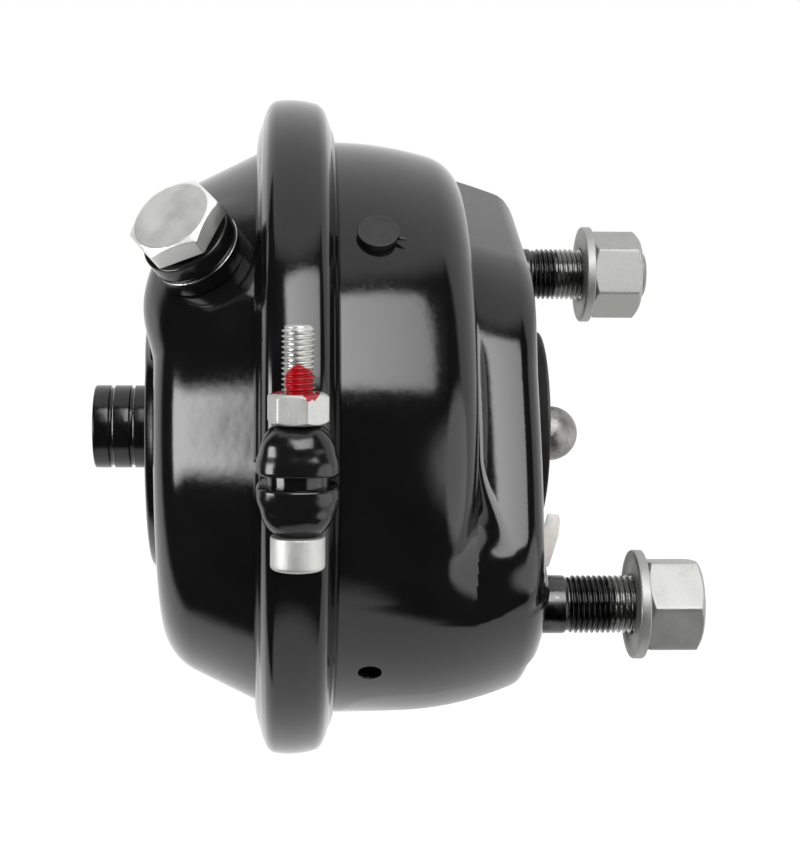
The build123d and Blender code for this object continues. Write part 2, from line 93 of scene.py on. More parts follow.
# flat faces over the grid's first and last row
def endFaces(rows, cols):
    return [list(range(cols))[::-1], [(rows - 1) * cols + c for c in range(cols)]]


def flatSheet(name, wide, high, z, material):
    corners = [(-wide, -high, z), (wide, -high, z), (wide, high, z), (-wide, high, z)]
    return makeMesh(name, corners, [(0, 1, 2, 3)], material)


# line through the corners, each inner corner turned into an arc
def roundedPath(corners, radii, step=0.3):
    path = [tuple(corners[0])]
    for before, here, after, radius in zip(corners, corners[1:], corners[2:], radii):
        a, p, b = (np.array(q, float) for q in (before, here, after))
        u, w = (a - p) / np.linalg.norm(a - p), (b - p) / np.linalg.norm(b - p)
        half = math.acos(max(-1.0, min(1.0, float(u @ w)))) / 2
        if radius <= 0 or half > 1.57:
            path.append(tuple(p))
            continue
        reach = min(radius / math.tan(half), 0.49 * min(np.linalg.norm(a - p), np.linalg.norm(b - p)))
        radius = reach * math.tan(half)
        middle = p + (u + w) / np.linalg.norm(u + w) * radius / math.sin(half)
        first, last = p + u * reach - middle, p + w * reach - middle
        turn = math.atan2(first[0] * last[1] - first[1] * last[0], float(first @ last))
        count = max(3, int(abs(turn) * radius / step) + 2, int(abs(turn) / 0.2) + 2)
        for t in np.linspace(0, turn, count):
            c, s = math.cos(t), math.sin(t)
            path.append((middle[0] + first[0] * c - first[1] * s, middle[1] + first[0] * s + first[1] * c))
    path.append(tuple(corners[-1]))
    return path


# same line with no run longer than this
def denser(path, longest):
    out = [path[0]]
    for a, b in zip(path, path[1:]):
        runs = max(1, int(math.hypot(b[0] - a[0], b[1] - a[1]) / longest))
        out += [(a[0] + (b[0] - a[0]) * k / runs, a[1] + (b[1] - a[1]) * k / runs) for k in range(1, runs + 1)]
    return out


# origin, direction of the axis, and two directions across it
def axes(origin, along, sideways):
    n = Vector(along).normalized()
    e = (Vector(sideways) - n * n.dot(Vector(sideways))).normalized()
    return Vector(origin), n, e, n.cross(e)


mainAxis = axes((0, 0, 0), (1, 0, 0), (0, 1, 0))


def placed(at, h, r, theta):
    origin, n, e, f = (np.array(v) for v in at)
    h, r, theta = np.broadcast_arrays(h, r, theta)
    return (origin + h[..., None] * n + (r * np.cos(theta))[..., None] * e
            + (r * np.sin(theta))[..., None] * f).reshape(-1, 3)


def fullTurn(count):
    return np.linspace(0, 2 * math.pi, count, endpoint=False)


# grid of radii and heights about an axis, with its ends capped or joined to each other
def polarPiece(name, at, h, r, theta, material, closed=False, caps=(True, True)):
    rows, cols = np.broadcast(h, r, theta).shape
    faces = gridFaces(rows, cols).tolist()
    if closed:
        faces += closingFaces(rows, cols)
    else:
        faces += [face for face, wanted in zip(endFaces(rows, cols), caps) if wanted]
    return makeMesh(name, placed(at, h, r, theta), faces, material)


# the same from rows of (heights, radii)
def stackedPiece(name, at, rows, theta, material, closed=False):
    h, r = (np.concatenate(block) for block in zip(*rows))
    return polarPiece(name, at, h, r, theta, material, closed)


# turned piece from a path of (height, radius); arc leaves part of the circle out
def spin(name, at, path, material, cols=192, closed=False, caps=(True, True), arc=None):
    h = np.array([p[0] for p in path])[:, None]
    r = np.maximum(np.array([p[1] for p in path])[:, None], 0.02)
    if arc is None:
        return polarPiece(name, at, h, r, fullTurn(cols)[None, :], material, closed, caps)
    theta = np.linspace(arc[0], arc[1], cols)[None, :]
    rows = len(path)
    faces = [[i * cols + c, i * cols + c + 1, (i + 1) % rows * cols + c + 1, (i + 1) % rows * cols + c]
             for i in range(rows if closed else rows - 1) for c in range(cols - 1)]
    faces += [[i * cols for i in range(rows)], [i * cols + cols - 1 for i in range(rows)][::-1]]
    return makeMesh(name, placed(at, h, r, theta), faces, material)


# closed outline around a line
def thicken(path, t):
    p = np.array(path, float)
    d = np.gradient(p, axis=0)
    n = np.stack([-d[:, 1], d[:, 0]], 1) / np.linalg.norm(d, axis=1)[:, None]
    return [tuple(q) for q in p + n * t / 2] + [tuple(q) for q in (p - n * t / 2)[::-1]]


def joinPieces(name, pieces):
    bpy.ops.object.select_all(action="DESELECT")
    for piece in pieces:
        piece.select_set(True)
    bpy.context.view_layer.objects.active = pieces[0]
    bpy.ops.object.join()
    pieces[0].name = pieces[0].data.name = name
    return pieces[0]


# the piece rides on its body and stands for these solids
def settle(piece, body, slot, *nodes):
    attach(piece, body)
    if nodes:
        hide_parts(*nodes)
    return piece


# materials are made of nodes only
def newMaterial(name, **sockets):
    material = bpy.data.materials.new(name)
    material.use_nodes = True
    shader = material.node_tree.nodes["Principled BSDF"]
    for key, value in sockets.items():
        shader.inputs[key].default_value = value
    return material, material.node_tree, shader


def emptyTree(owner):
    owner.use_nodes = True
    owner.node_tree.nodes.clear()
    return owner.node_tree


def addNode(tree, kind, links=(), **settings):
    node = tree.nodes.new(kind)
    for key, value in settings.items():
        setattr(node, key, value)
    for socket, source in links:
        tree.links.new(source, node.inputs[socket])
    return node


# one step of arithmetic, each value a number or a socket
def mathNode(tree, kind, a, b=0.0):
    node = addNode(tree, "ShaderNodeMath", operation=kind)
    for number, value in enumerate((a, b)):
        if isinstance(value, (int, float)):
            node.inputs[number].default_value = value
        else:
            tree.links.new(value, node.inputs[number])
    return node.outputs[0]


# the piece's own coordinates, in metres
def objectPlace(tree):
    source = addNode(tree, "ShaderNodeTexCoord").outputs["Object"]
    return addNode(tree, "ShaderNodeSeparateXYZ", [("Vector", source)]).outputs


# soft noise in the piece's own coordinates, scale in waves per metre
def noise(tree, scale, detail=3.0):
    source = addNode(tree, "ShaderNodeTexCoord").outputs["Object"]
    node = addNode(tree, "ShaderNodeTexNoise", [("Vector", source)])
    node.inputs["Scale"].default_value = scale
    node.inputs["Detail"].default_value = detail
    return node.outputs["Fac"]


# maps a value to a range
def spread(tree, value, low, high, fromLow=0.3, fromHigh=0.7):
    node = addNode(tree, "ShaderNodeMapRange", [("Value", value)])
    for key, number in (("From Min", fromLow), ("From Max", fromHigh), ("To Min", low), ("To Max", high)):
        node.inputs[key].default_value = number
    return node.outputs["Result"]


# smooth rise from 0 at low to 1 at high
def ramp(tree, value, low, high):
    node = addNode(tree, "ShaderNodeMapRange", [("Value", value)], interpolation_type="SMOOTHSTEP")
    node.inputs["From Min"].default_value, node.inputs["From Max"].default_value = low, high
    return node.outputs["Result"]


# blend of two colours, each a plain colour or a socket
def tint(tree, factor, first, second):
    node = addNode(tree, "ShaderNodeMix", [(0, factor)], data_type="RGBA")
    for number, value in ((6, first), (7, second)):
        if isinstance(value, tuple):
            node.inputs[number].default_value = (*value, 1)
        else:
            tree.links.new(value, node.inputs[number])
    return node.outputs[2]


# surface unevenness, depth in metres
def bump(tree, shader, height, depth, under=None):
    node = addNode(tree, "ShaderNodeBump", [("Height", height)])
    node.inputs["Distance"].default_value = depth
    node.inputs["Strength"].default_value = 1.0
    if under:
        tree.links.new(under, node.inputs["Normal"])
    tree.links.new(node.outputs["Normal"], shader.inputs["Normal"])
    return node.outputs["Normal"]


# sprayed gloss paint: orange peel, faint waves of the pressing, dust that dulls it a little
def paintMaterial(name, paint):
    material, tree, shader = newMaterial(name, **{"IOR": paint["ior"], "Specular IOR Level": 0.5})
    clean = spread(tree, noise(tree, 60.0), 0, 1)
    tree.links.new(tint(tree, clean, paint["color"], paint["dusty"]), shader.inputs["Base Color"])
    dulled = paint["rough"] + paint["dull"]
    rough = spread(tree, noise(tree, 900.0, 4.0), paint["rough"], dulled, 0.45, 0.8)
    tree.links.new(rough, shader.inputs["Roughness"])
    waves = bump(tree, shader, noise(tree, 28.0, 1.0), paint["wave"])
    ripples = bump(tree, shader, noise(tree, paint["rippleScale"], 2.0), paint["ripple"], waves)
    bump(tree, shader, noise(tree, paint["peelScale"], 1.5), paint["peel"], ripples)
    return material


# plated or bare steel: blotches, fine grain, darker specks
def metalMaterial(name, metal):
    material, tree, shader = newMaterial(name, Metallic=1.0)
    blotch = spread(tree, noise(tree, metal["blotch"], 5.0), 0, 1, 0.35, 0.65)
    specks = spread(tree, noise(tree, metal["grain"], 2.0), 0, 1, 0.62, 0.72)
    base = tint(tree, blotch, metal["color"], metal["second"])
    tree.links.new(tint(tree, specks, base, metal["speck"]), shader.inputs["Base Color"])
    rough = spread(tree, blotch, metal["rough"], metal["rough"] + metal["dull"], 0, 1)
    tree.links.new(rough, shader.inputs["Roughness"])
    bump(tree, shader, noise(tree, metal["grain"]), metal["relief"])
    return material


# rubber or moulded plastic
def softMaterial(name, soft):
    inside = {"Subsurface Weight": soft.get("glow", 0.0), "Subsurface Scale": 0.002}
    material, tree, shader = newMaterial(name, **inside)
    cloudy = spread(tree, noise(tree, soft["cloud"], 4.0), 0, 1)
    tree.links.new(tint(tree, cloudy, soft["color"], soft["second"]), shader.inputs["Base Color"])
    grain = noise(tree, soft["grain"])
    rough = spread(tree, grain, soft["rough"], soft["rough"] + 0.12)
    tree.links.new(rough, shader.inputs["Roughness"])
    bump(tree, shader, grain, soft["relief"])
    return material


blackPaint = paintMaterial("blackGlossPaint", {
    "color": (0.0030, 0.0030, 0.0032), "dusty": (0.0048, 0.0048, 0.0050), "rough": 0.10, "dull": 0.06,
    "ior": 1.5, "wave": 0.00012, "rippleScale": 95.0, "ripple": 0.00006,
    "peelScale": 420.0, "peel": 0.000012})
castPaint = paintMaterial("blackPaintOnCastings", {
    "color": (0.0035, 0.0035, 0.0036), "dusty": (0.0055, 0.0055, 0.0055), "rough": 0.16, "dull": 0.10,
    "ior": 1.5, "wave": 0.00020, "rippleScale": 120.0, "ripple": 0.00010,
    "peelScale": 500.0, "peel": 0.00002})
springSteel = paintMaterial("springCoating", {
    "color": (0.012, 0.012, 0.012), "dusty": (0.02, 0.02, 0.02), "rough": 0.35, "dull": 0.15,
    "ior": 1.45, "wave": 0.00005, "rippleScale": 120.0, "ripple": 0.00002,
    "peelScale": 600.0, "peel": 0.00003})
zincPlate = metalMaterial("greyZincFlake", {
    "color": (0.41, 0.41, 0.395), "second": (0.48, 0.48, 0.46), "speck": (0.37, 0.37, 0.36),
    "rough": 0.52, "dull": 0.10, "blotch": 150.0, "grain": 1300.0, "relief": 0.00003})
brightZinc = metalMaterial("brightZinc", {
    "color": (0.84, 0.84, 0.825), "second": (0.90, 0.90, 0.88), "speck": (0.79, 0.79, 0.78),
    "rough": 0.42, "dull": 0.12, "blotch": 130.0, "grain": 1500.0, "relief": 0.00003})
plainSteel = metalMaterial("plainSteel", {
    "color": (0.20, 0.196, 0.188), "second": (0.38, 0.37, 0.355), "speck": (0.05, 0.048, 0.045),
    "rough": 0.40, "dull": 0.18, "blotch": 330.0, "grain": 850.0, "relief": 0.00010})
# bright metal for the beads at the port grooves: it paints the highlight lines along the groove edges
grooveHighlightMetal = metalMaterial("grooveHighlightMetal", {
    "color": (0.70, 0.70, 0.69), "second": (0.45, 0.45, 0.44), "speck": (0.10, 0.10, 0.10),
    "rough": 0.22, "dull": 0.10, "blotch": 160.0, "grain": 900.0, "relief": 0.00001})
blackPlastic = softMaterial("blackPlastic", {
    "color": (0.010, 0.010, 0.010), "second": (0.018, 0.018, 0.018), "rough": 0.30,
    "cloud": 300.0, "grain": 1600.0, "relief": 0.00001})
rubber = softMaterial("blackRubber", {
    "color": (0.010, 0.010, 0.010), "second": (0.020, 0.020, 0.019), "rough": 0.42,
    "cloud": 200.0, "grain": 1400.0, "relief": 0.00002})
whitePlastic = softMaterial("whitePlastic", {
    "color": (0.72, 0.71, 0.68), "second": (0.60, 0.59, 0.55), "rough": 0.28,
    "cloud": 220.0, "grain": 900.0, "relief": 0.00002, "glow": 0.25})
print("materials made")


# camera: place in mm, turns in radians, focal length and side shift in pixels
camera = {"at": (-71.47, -509.0, 0.29), "yaw": 0.0507, "pitch": 0.0005, "roll": -0.0032,
          "focal": 1722.5, "side": -29.3, "sensor": 36.0, "near": 0.01}
imageHigh = 854.0
cameraData = bpy.data.cameras.new("camera")
cameraData.lens = camera["focal"] / imageHigh * camera["sensor"]
cameraData.sensor_width = camera["sensor"]
cameraData.shift_x = -camera["side"] / imageHigh
cameraData.clip_start = camera["near"]
cameraObject = bpy.data.objects.new("camera", cameraData)
bpy.context.scene.collection.objects.link(cameraObject)
yaw, pitch, roll = camera["yaw"], camera["pitch"], camera["roll"]
look = Vector((math.sin(yaw) * math.cos(pitch), math.cos(yaw) * math.cos(pitch), -math.sin(pitch)))
level = look.cross(Vector((0, 0, 1))).normalized()
above = level.cross(look)
right = level * math.cos(roll) - above * math.sin(roll)
upward = above * math.cos(roll) + level * math.sin(roll)
turned = Matrix((right, upward, -look)).transposed().to_4x4()
cameraObject.matrix_world = Matrix.Translation(Vector(camera["at"]) * mm) @ turned
bpy.context.scene.camera = cameraObject
bpy.context.scene.view_settings.view_transform = "Standard"


# direction from degrees to the right of the front and degrees up
def towards(around, up):
    around, up = math.radians(around), math.radians(up)
    return Vector((math.sin(around) * math.cos(up), -math.cos(around) * math.cos(up), math.sin(up)))


# glowing cloth of a studio lamp: dimmer towards its edges, a little brighter towards one side
def softBox(name, box):
    material = bpy.data.materials.new(name)
    tree = emptyTree(material)
    place = objectPlace(tree)
    wide, high = box["wide"] / 2, box["high"] / 2
    bright, dim = box["glow"] * (1 + box["lean"]), box["glow"] * (1 - box["lean"])
    glow = spread(tree, place["X"], bright, dim, -wide, wide)
    for side, half in (("X", wide), ("Y", high)):
        reach = mathNode(tree, "ABSOLUTE", place[side])
        glow = mathNode(tree, "MULTIPLY", glow, ramp(tree, reach, half, half - box["fade"]))
    shine = addNode(tree, "ShaderNodeEmission", [("Strength", glow)])
    tree.links.new(shine.outputs[0], addNode(tree, "ShaderNodeOutputMaterial").inputs["Surface"])
    sheet = flatSheet(name, wide / mm, high / mm, 0, material)
    away = towards(box["around"], box["up"])
    sheet.location = Vector((-0.06, 0, 0)) + away * box["distance"]
    sheet.rotation_euler = away.to_track_quat("Z", "Y").to_euler()
    sheet.visible_camera = False


softBox("frontBox", {"around": 15.0, "up": 32.0, "distance": 1.3, "wide": 0.94, "high": 0.96,
                     "fade": 0.10, "glow": 6.6, "lean": 0.30})
softBox("leftBox", {"around": -66.0, "up": -1.5, "distance": 1.3, "wide": 0.84, "high": 0.82,
                    "fade": 0.17, "glow": 10.5, "lean": -0.1})

# studio: dark in front between low, high, left and right limits, white all round it
studio = {"darkLow": -0.90, "darkHigh": 0.84, "edge": 0.05, "left": -0.46, "right": 0.26,
          "sideEdge": 0.10, "middle": 0.3, "dark": 0.02, "white": 1.0,
          "glowAt": (66.0, -12.0), "glowWide": 33.0, "glowHigh": 24.0, "glowEdge": (1.12, 0.80), "glow": 2.0}
world = bpy.data.worlds.new("studio")
bpy.context.scene.world = world
worldTree = emptyTree(world)
worldMath = partial(mathNode, worldTree)
worldRamp = partial(ramp, worldTree)
worldWay = addNode(worldTree, "ShaderNodeTexCoord").outputs["Generated"]
wayX, wayY, wayZ = addNode(worldTree, "ShaderNodeSeparateXYZ", [("Vector", worldWay)]).outputs


def worldDot(way):
    node = addNode(worldTree, "ShaderNodeVectorMath", [(0, worldWay)], operation="DOT_PRODUCT")
    node.inputs[1].default_value = way
    return node.outputs["Value"]


def worldLength(a, b):
    return worldMath("POWER", worldMath("ADD", worldMath("MULTIPLY", a, a), worldMath("MULTIPLY", b, b)), 0.5)


flat = worldMath("MAXIMUM", worldLength(wayX, wayY), 0.001)
toFront = worldMath("DIVIDE", worldMath("MULTIPLY", wayY, -1.0), flat)
toRight = worldRamp(worldMath("DIVIDE", wayX, flat), -studio["middle"], studio["middle"])
limit = worldMath("MULTIPLY", toRight, studio["right"] - studio["left"])
limit = worldMath("ADD", limit, studio["left"])
inFront = worldRamp(worldMath("SUBTRACT", toFront, limit), -studio["sideEdge"], studio["sideEdge"])
overLow = worldRamp(wayZ, studio["darkLow"] - studio["edge"], studio["darkLow"] + studio["edge"])
underHigh = worldRamp(wayZ, studio["darkHigh"] + studio["edge"], studio["darkHigh"] - studio["edge"])
dark = worldMath("MULTIPLY", inFront, worldMath("MULTIPLY", overLow, underHigh))
wall = spread(worldTree, dark, studio["white"], studio["dark"], 0, 1)

# pale wall low on the right, seen in the lower half of the bowl
glowWay, glowSide = towards(*studio["glowAt"]), towards(studio["glowAt"][0] + 90.0, 0.0)
acrossIt = worldMath("DIVIDE", worldDot(glowSide), math.sin(math.radians(studio["glowWide"])))
upIt = worldMath("DIVIDE", worldDot(glowSide.cross(glowWay)), math.sin(math.radians(studio["glowHigh"])))
onGlow = worldRamp(worldLength(acrossIt, upIt), *studio["glowEdge"])
onGlow = worldMath("MULTIPLY", onGlow, worldRamp(worldDot(glowWay), 0.0, 0.1))
glowing = worldMath("MAXIMUM", worldMath("MULTIPLY", onGlow, studio["glow"]), wall)

room = addNode(worldTree, "ShaderNodeBackground", [("Strength", glowing)])
white = addNode(worldTree, "ShaderNodeBackground")
for node in (room, white):
    node.inputs["Color"].default_value = (1, 1, 1, 1)
white.inputs["Strength"].default_value = 1.0
cameraRay = addNode(worldTree, "ShaderNodeLightPath").outputs["Is Camera Ray"]
seen = addNode(worldTree, "ShaderNodeMixShader", [(0, cameraRay), (1, room.outputs[0]), (2, white.outputs[0])])
worldTree.links.new(seen.outputs[0], addNode(worldTree, "ShaderNodeOutputWorld").inputs["Surface"])

# floor: pale, nearly as white as the background to the eye, with the shadow kept
ground = {"color": 0.9, "share": 0.93, "shine": 1.07, "half": 4000, "z": -172}
floorMaterial = bpy.data.materials.new("paleFloor")
floorTree = emptyTree(floorMaterial)
pale = addNode(floorTree, "ShaderNodeBsdfDiffuse")
pale.inputs["Color"].default_value = (ground["color"], ground["color"], ground["color"], 1)
shine = addNode(floorTree, "ShaderNodeEmission")
shine.inputs["Strength"].default_value = ground["shine"]
cameraRay = addNode(floorTree, "ShaderNodeLightPath").outputs["Is Camera Ray"]
share = mathNode(floorTree, "MULTIPLY", cameraRay, ground["share"])
floorMix = addNode(floorTree, "ShaderNodeMixShader", [(0, share), (1, pale.outputs[0]), (2, shine.outputs[0])])
floorTree.links.new(floorMix.outputs[0], addNode(floorTree, "ShaderNodeOutputMaterial").inputs["Surface"])
floor = flatSheet("floor", ground["half"], ground["half"], ground["z"], floorMaterial)
floor.visible_glossy = False
print("camera, light and floor set")


# mounting housing: deep bowl with a raised oblong platform, drawn as one smooth skin
def bowlDistance(x, r, bowl):
    # signed distance to a turned bowl: straight wall, gentle bulge, round corner, flat front
    start, bulge, corner, front = bowl["start"], bowl["bulge"] - bowl["corner"], bowl["corner"], bowl["front"]
    middleR = cupR - bowl["bulge"]
    side = np.where(x < start, r - (cupR - corner), np.hypot(x - start, r - middleR) - bulge)
    face = x - (front - corner)
    edgeX = front - corner
    edgeR = middleR + math.sqrt(bulge ** 2 - (edgeX - start) ** 2)
    nx, nr = (edgeX - start) / bulge, (edgeR - middleR) / bulge
    beyond = ((x - edgeX) * nr - (r - edgeR) * nx > 0) & (r > edgeR)
    return np.where(beyond, np.hypot(x - edgeX, r - edgeR), np.maximum(side, face)) - corner


# rise from 0 at low to 1 at high
def smooth(value, low, high):
    t = np.clip((value - low) / (high - low), 0, 1)
    return t * t * (3 - 2 * t)


# overlap and union of two shapes with the edge between them rounded
def roundMax(a, b, k):
    return np.minimum(np.maximum(a, b), -k) + np.hypot(np.maximum(a + k, 0), np.maximum(b + k, 0))


def roundMin(a, b, k):
    return np.maximum(np.minimum(a, b), k) - np.hypot(np.maximum(k - a, 0), np.maximum(k - b, 0))


# corners are (y, z, rounding); archFrom to fillTo are degrees up the long wall
housing = {
    "shoulder": {"start": -57.6, "bulge": 99.4, "corner": 12.8, "front": -21.2},
    "crown": {"start": -37.5, "bulge": 77.7, "corner": 11.7, "front": 0.0},
    "corners": [(-83.4, -108.0, 24.7), (-60.4, -3.5, 150.0), (-42.7, 42.5, 58.3)],
    "draft": math.radians(14.8), "edge": 5.9, "foot": 2.5, "softFoot": 15.0, "softFrom": (40.0, 76.0),
    "arch": 28.0, "archX": -12.4, "archIn": 29.9, "archFrom": (-52.0, -38.0), "archTo": (15.0, 62.0),
    "fillFrom": (24.0, 41.0), "fillTo": (60.0, 85.0), "softEdge": 2.0, "brow": 6.0, "sharp": 0.3,
    "opening": 26.0, "wall": sheetT, "drainX": -48.3, "drainClock": math.radians(142.0), "drainR": 3.35,
    "rows": 210, "cols": 640, "from": (-50.0, 0.0, 0.0)}


def platformOutline():
    # radius of the platform's outline at every angle, and how squarely it is met there
    corners = housing["corners"] + [(-y, -z, r) for y, z, r in housing["corners"]]
    loop = [corners[-1]] + corners + [corners[0]]
    path = roundedPath([(y, z) for y, z, r in loop], [r for y, z, r in corners], 0.5)[1:-1]
    path = np.array(denser(path + [path[0]], 0.4)[:-1])
    way = np.roll(path, -1, axis=0) - np.roll(path, 1, axis=0)
    far = np.hypot(path[:, 0], path[:, 1])
    square = np.abs(path[:, 0] * way[:, 1] - path[:, 1] * way[:, 0]) / np.hypot(way[:, 0], way[:, 1]) / far
    turn = np.arctan2(path[:, 1], path[:, 0])
    order = np.argsort(turn)
    return turn[order], far[order], square[order]


platformTurn, platformFar, platformSquare = platformOutline()


def housingDistance(p):
    # below zero inside the pressed shape
    x, y, z = p[..., 0], p[..., 1], p[..., 2]
    r, turn = np.hypot(y, z), np.arctan2(z, y)
    along = y * math.sin(studAngle) + z * math.cos(studAngle)
    # the two long walls are arched, the two short ones plain
    climb = np.degrees(np.arctan2(np.where(y < 0, z, -z), np.abs(y)))
    arched = smooth(climb, *housing["archFrom"]) * (1 - smooth(climb, *housing["archTo"]))
    low = housing["shoulder"]["front"]
    plain = math.tan(housing["draft"]) * (low - x)
    rise = np.clip(np.maximum(x, low) - housing["archX"], -20.0, 20.0)
    curve = np.sqrt(housing["arch"] ** 2 - rise ** 2) - housing["archIn"]
    bulge = plain + (curve + np.maximum(plain, 0) - plain) * arched
    far = np.interp(turn, platformTurn, platformFar, period=2 * math.pi)
    square = np.interp(turn, platformTurn, platformSquare, period=2 * math.pi)
    side = ((r - far) * square - bulge) * math.cos(housing["draft"])
    # the bowl behind the platform's lower end is filled up to the crown
    crown, shoulder = bowlDistance(x, r, housing["crown"]), bowlDistance(x, r, housing["shoulder"])
    filled = smooth(-climb, *housing["fillFrom"]) * (1 - smooth(-climb, *housing["fillTo"]))
    shoulder = shoulder + (crown - shoulder) * filled
    front = roundMax(side, crown, housing["sharp"] + housing["brow"] * arched)
    platform = roundMax(front, x, housing["edge"] + housing["softEdge"] * arched)
    deep = smooth(-along, *housing["softFrom"])
    foot = housing["foot"] + (housing["softFoot"] - housing["foot"]) * deep
    proud = np.maximum(shoulder - crown, 0.05)
    return roundMin(shoulder, platform, (foot ** -3 + proud ** -3) ** (-1 / 3))


def housingSkin():
    origin = np.array(housing["from"])
    first = math.atan2(housing["opening"], -origin[0])
    last = math.atan2(cupR, clampX + 1.8 - origin[0])
    slope = np.linspace(first, last, housing["rows"])[:, None]
    turn = fullTurn(housing["cols"])[None, :]
    way = [np.cos(slope), np.sin(slope) * np.cos(turn), np.sin(slope) * np.sin(turn)]
    way = np.stack(np.broadcast_arrays(*way), -1)
    near, far = np.full(way.shape[:2], 15.0), np.full(way.shape[:2], 130.0)
    for _ in range(44):
        middle = (near + far) / 2
        inside = housingDistance(origin + way * middle[..., None]) < 0
        near, far = np.where(inside, middle, near), np.where(inside, far, middle)
    outer = origin + way * near[..., None]
    steps = np.eye(3) * 0.05
    normal = np.stack([housingDistance(outer + step) - housingDistance(outer - step) for step in steps], -1)
    normal /= np.linalg.norm(normal, axis=-1, keepdims=True)
    rows, cols = outer.shape[:2]
    flatPoints, flatNormals = outer.reshape(-1, 3), normal.reshape(-1, 3)
    quads = gridFaces(rows, cols, flip=True)

    # drain hole: faces inside it go, and the edge left behind is drawn onto the circle
    clock = housing["drainClock"]
    out = np.array([0.0, -math.sin(clock), math.cos(clock)])
    middle = out * cupR + np.array([housing["drainX"], 0, 0])
    offset = flatPoints - middle
    offset -= (offset @ out)[:, None] * out
    away = np.linalg.norm(offset, axis=1)
    nearby = (flatPoints @ out) > 0.8 * cupR
    keep = ~((away[quads] < housing["drainR"]).any(1) & nearby[quads].all(1))
    cut = quads[~keep]
    quads = quads[keep]
    rim = np.intersect1d(np.unique(cut), np.unique(quads))
    for number in rim:
        spot = offset[number] / away[number] * housing["drainR"]
        spot = spot + np.array([housing["drainX"], 0, 0])
        tangent = spot[1:] - out[1:] * (spot[1:] @ out[1:])
        height = math.sqrt(cupR ** 2 - float(tangent @ tangent))
        flatPoints[number] = (spot[0], *(tangent + out[1:] * height))
        flatNormals[number] = (0, *(flatPoints[number][1:] / cupR))
    around = (flatPoints[rim] - middle) @ np.cross(out, (1, 0, 0))
    angle = np.arctan2(around, flatPoints[rim][:, 0] - housing["drainX"])
    rim = rim[np.argsort(angle)]

    inner = flatPoints - flatNormals * housing["wall"]
    total = rows * cols
    points, normals = [flatPoints, inner], [flatNormals, -flatNormals]
    faces = quads.tolist() + (quads[:, ::-1] + total).tolist()

    def wall(loop, steps):
        # edge of the sheet: a strip of its own from the outer to the inner skin, with both lips rounded
        start = sum(len(block) for block in points)
        count = len(loop)
        for depth, inset in steps:
            middleOf = flatPoints[loop].mean(0)
            inward = flatPoints[loop] - middleOf
            inward /= np.linalg.norm(inward, axis=1, keepdims=True)
            points.append(flatPoints[loop] - flatNormals[loop] * depth + inward * inset)
            normals.append(np.zeros((count, 3)))
        for k in range(len(steps) - 1):
            for c in range(count):
                a, b = start + k * count + c, start + k * count + (c + 1) % count
                faces.append([a, b, b + count, a + count])

    t = housing["wall"]
    lip = [(0.0, 0.0), (0.06, -0.12), (0.25, -0.2), (t - 0.2, -0.2), (t, 0.0)]
    wall(rim, lip)
    wall(np.arange(cols), [(0.0, 0.0), (t, 0.0)])
    skin = makeMesh("housingSkin", np.concatenate(points), faces, blackPaint, np.concatenate(normals))
    return joinPieces("mountingHousing", [skin, flange("flange", 1, 6.1)])


# turned rim inside the clamp, hand is the side of the clamp's middle
def flange(name, hand, slope):
    path = [(1.9, 80.6), (1.9, 90.0), (5.0, 90.0), (slope, 83.0), (slope, 80.6)]
    path = [(clampX + hand * x, r) for x, r in path]
    return spin(name, mainAxis, roundedPath(path, [0.4, 0.4, 0.6]), blackPaint, closed=True)


settle(housingSkin(), "housing", "black_paint", "mounting_housing")
print("mounting housing skinned")


# pressure housing: flared shell with a raised middle
shell = {"backX": -105.5, "flatR": 56.2, "cornerR": 16.5, "cone": math.radians(26.3),
         "domeX": -109.2, "domeR": 40.2, "footR": 43.2}


def shellPath(inset):
    x0, corner = shell["backX"] + inset, shell["cornerR"] - inset
    turnX, turnR = x0 + corner, shell["flatR"]
    dome = shell["domeX"] + inset
    path = roundedPath([(dome, 8.0), (dome, shell["domeR"]), (x0, shell["footR"]), (x0, turnR)], [2.6, 1.2])
    for t in np.linspace(0, math.pi / 2 - shell["cone"], 26)[1:]:
        path.append((turnX - corner * math.cos(t), turnR + corner * math.sin(t)))
    endX = clampX - 2.4
    endR = path[-1][1] + (endX - path[-1][0]) * math.tan(shell["cone"])
    return path + denser([path[-1], (endX, endR)], 2.0)[1:]


# way out from the main axis; the clock angle runs from the top towards the front
def outward(clock):
    return Vector((0, -math.sin(clock), math.cos(clock)))


angled = {"x": -96.9, "r": 82.4, "clock": math.radians(53.1), "angle": math.radians(64.3), "long": 22.0}
pad = {"deep": 14.9, "r": 21.6, "edge": 6.0, "draft": math.radians(15.0), "foot": 5.0, "long": 45.0}
angledOut = Vector((-math.cos(angled["angle"]), 0, 0)) + outward(angled["clock"]) * math.sin(angled["angle"])
angledCentre = Vector((angled["x"], 0, 0)) + outward(angled["clock"]) * angled["r"]


def padDistance(p):
    out = np.array(angledOut)
    offset = p - np.array(angledCentre)
    high = offset @ out
    away = np.linalg.norm(offset - high[..., None] * out, axis=-1)
    high = high + pad["deep"]
    wall = (away - pad["r"] + math.tan(pad["draft"]) * np.minimum(high, 0)) * math.cos(pad["draft"])
    # it ends well before the far wall
    return np.maximum(roundMax(wall, high, pad["edge"]), -pad["long"] - high)


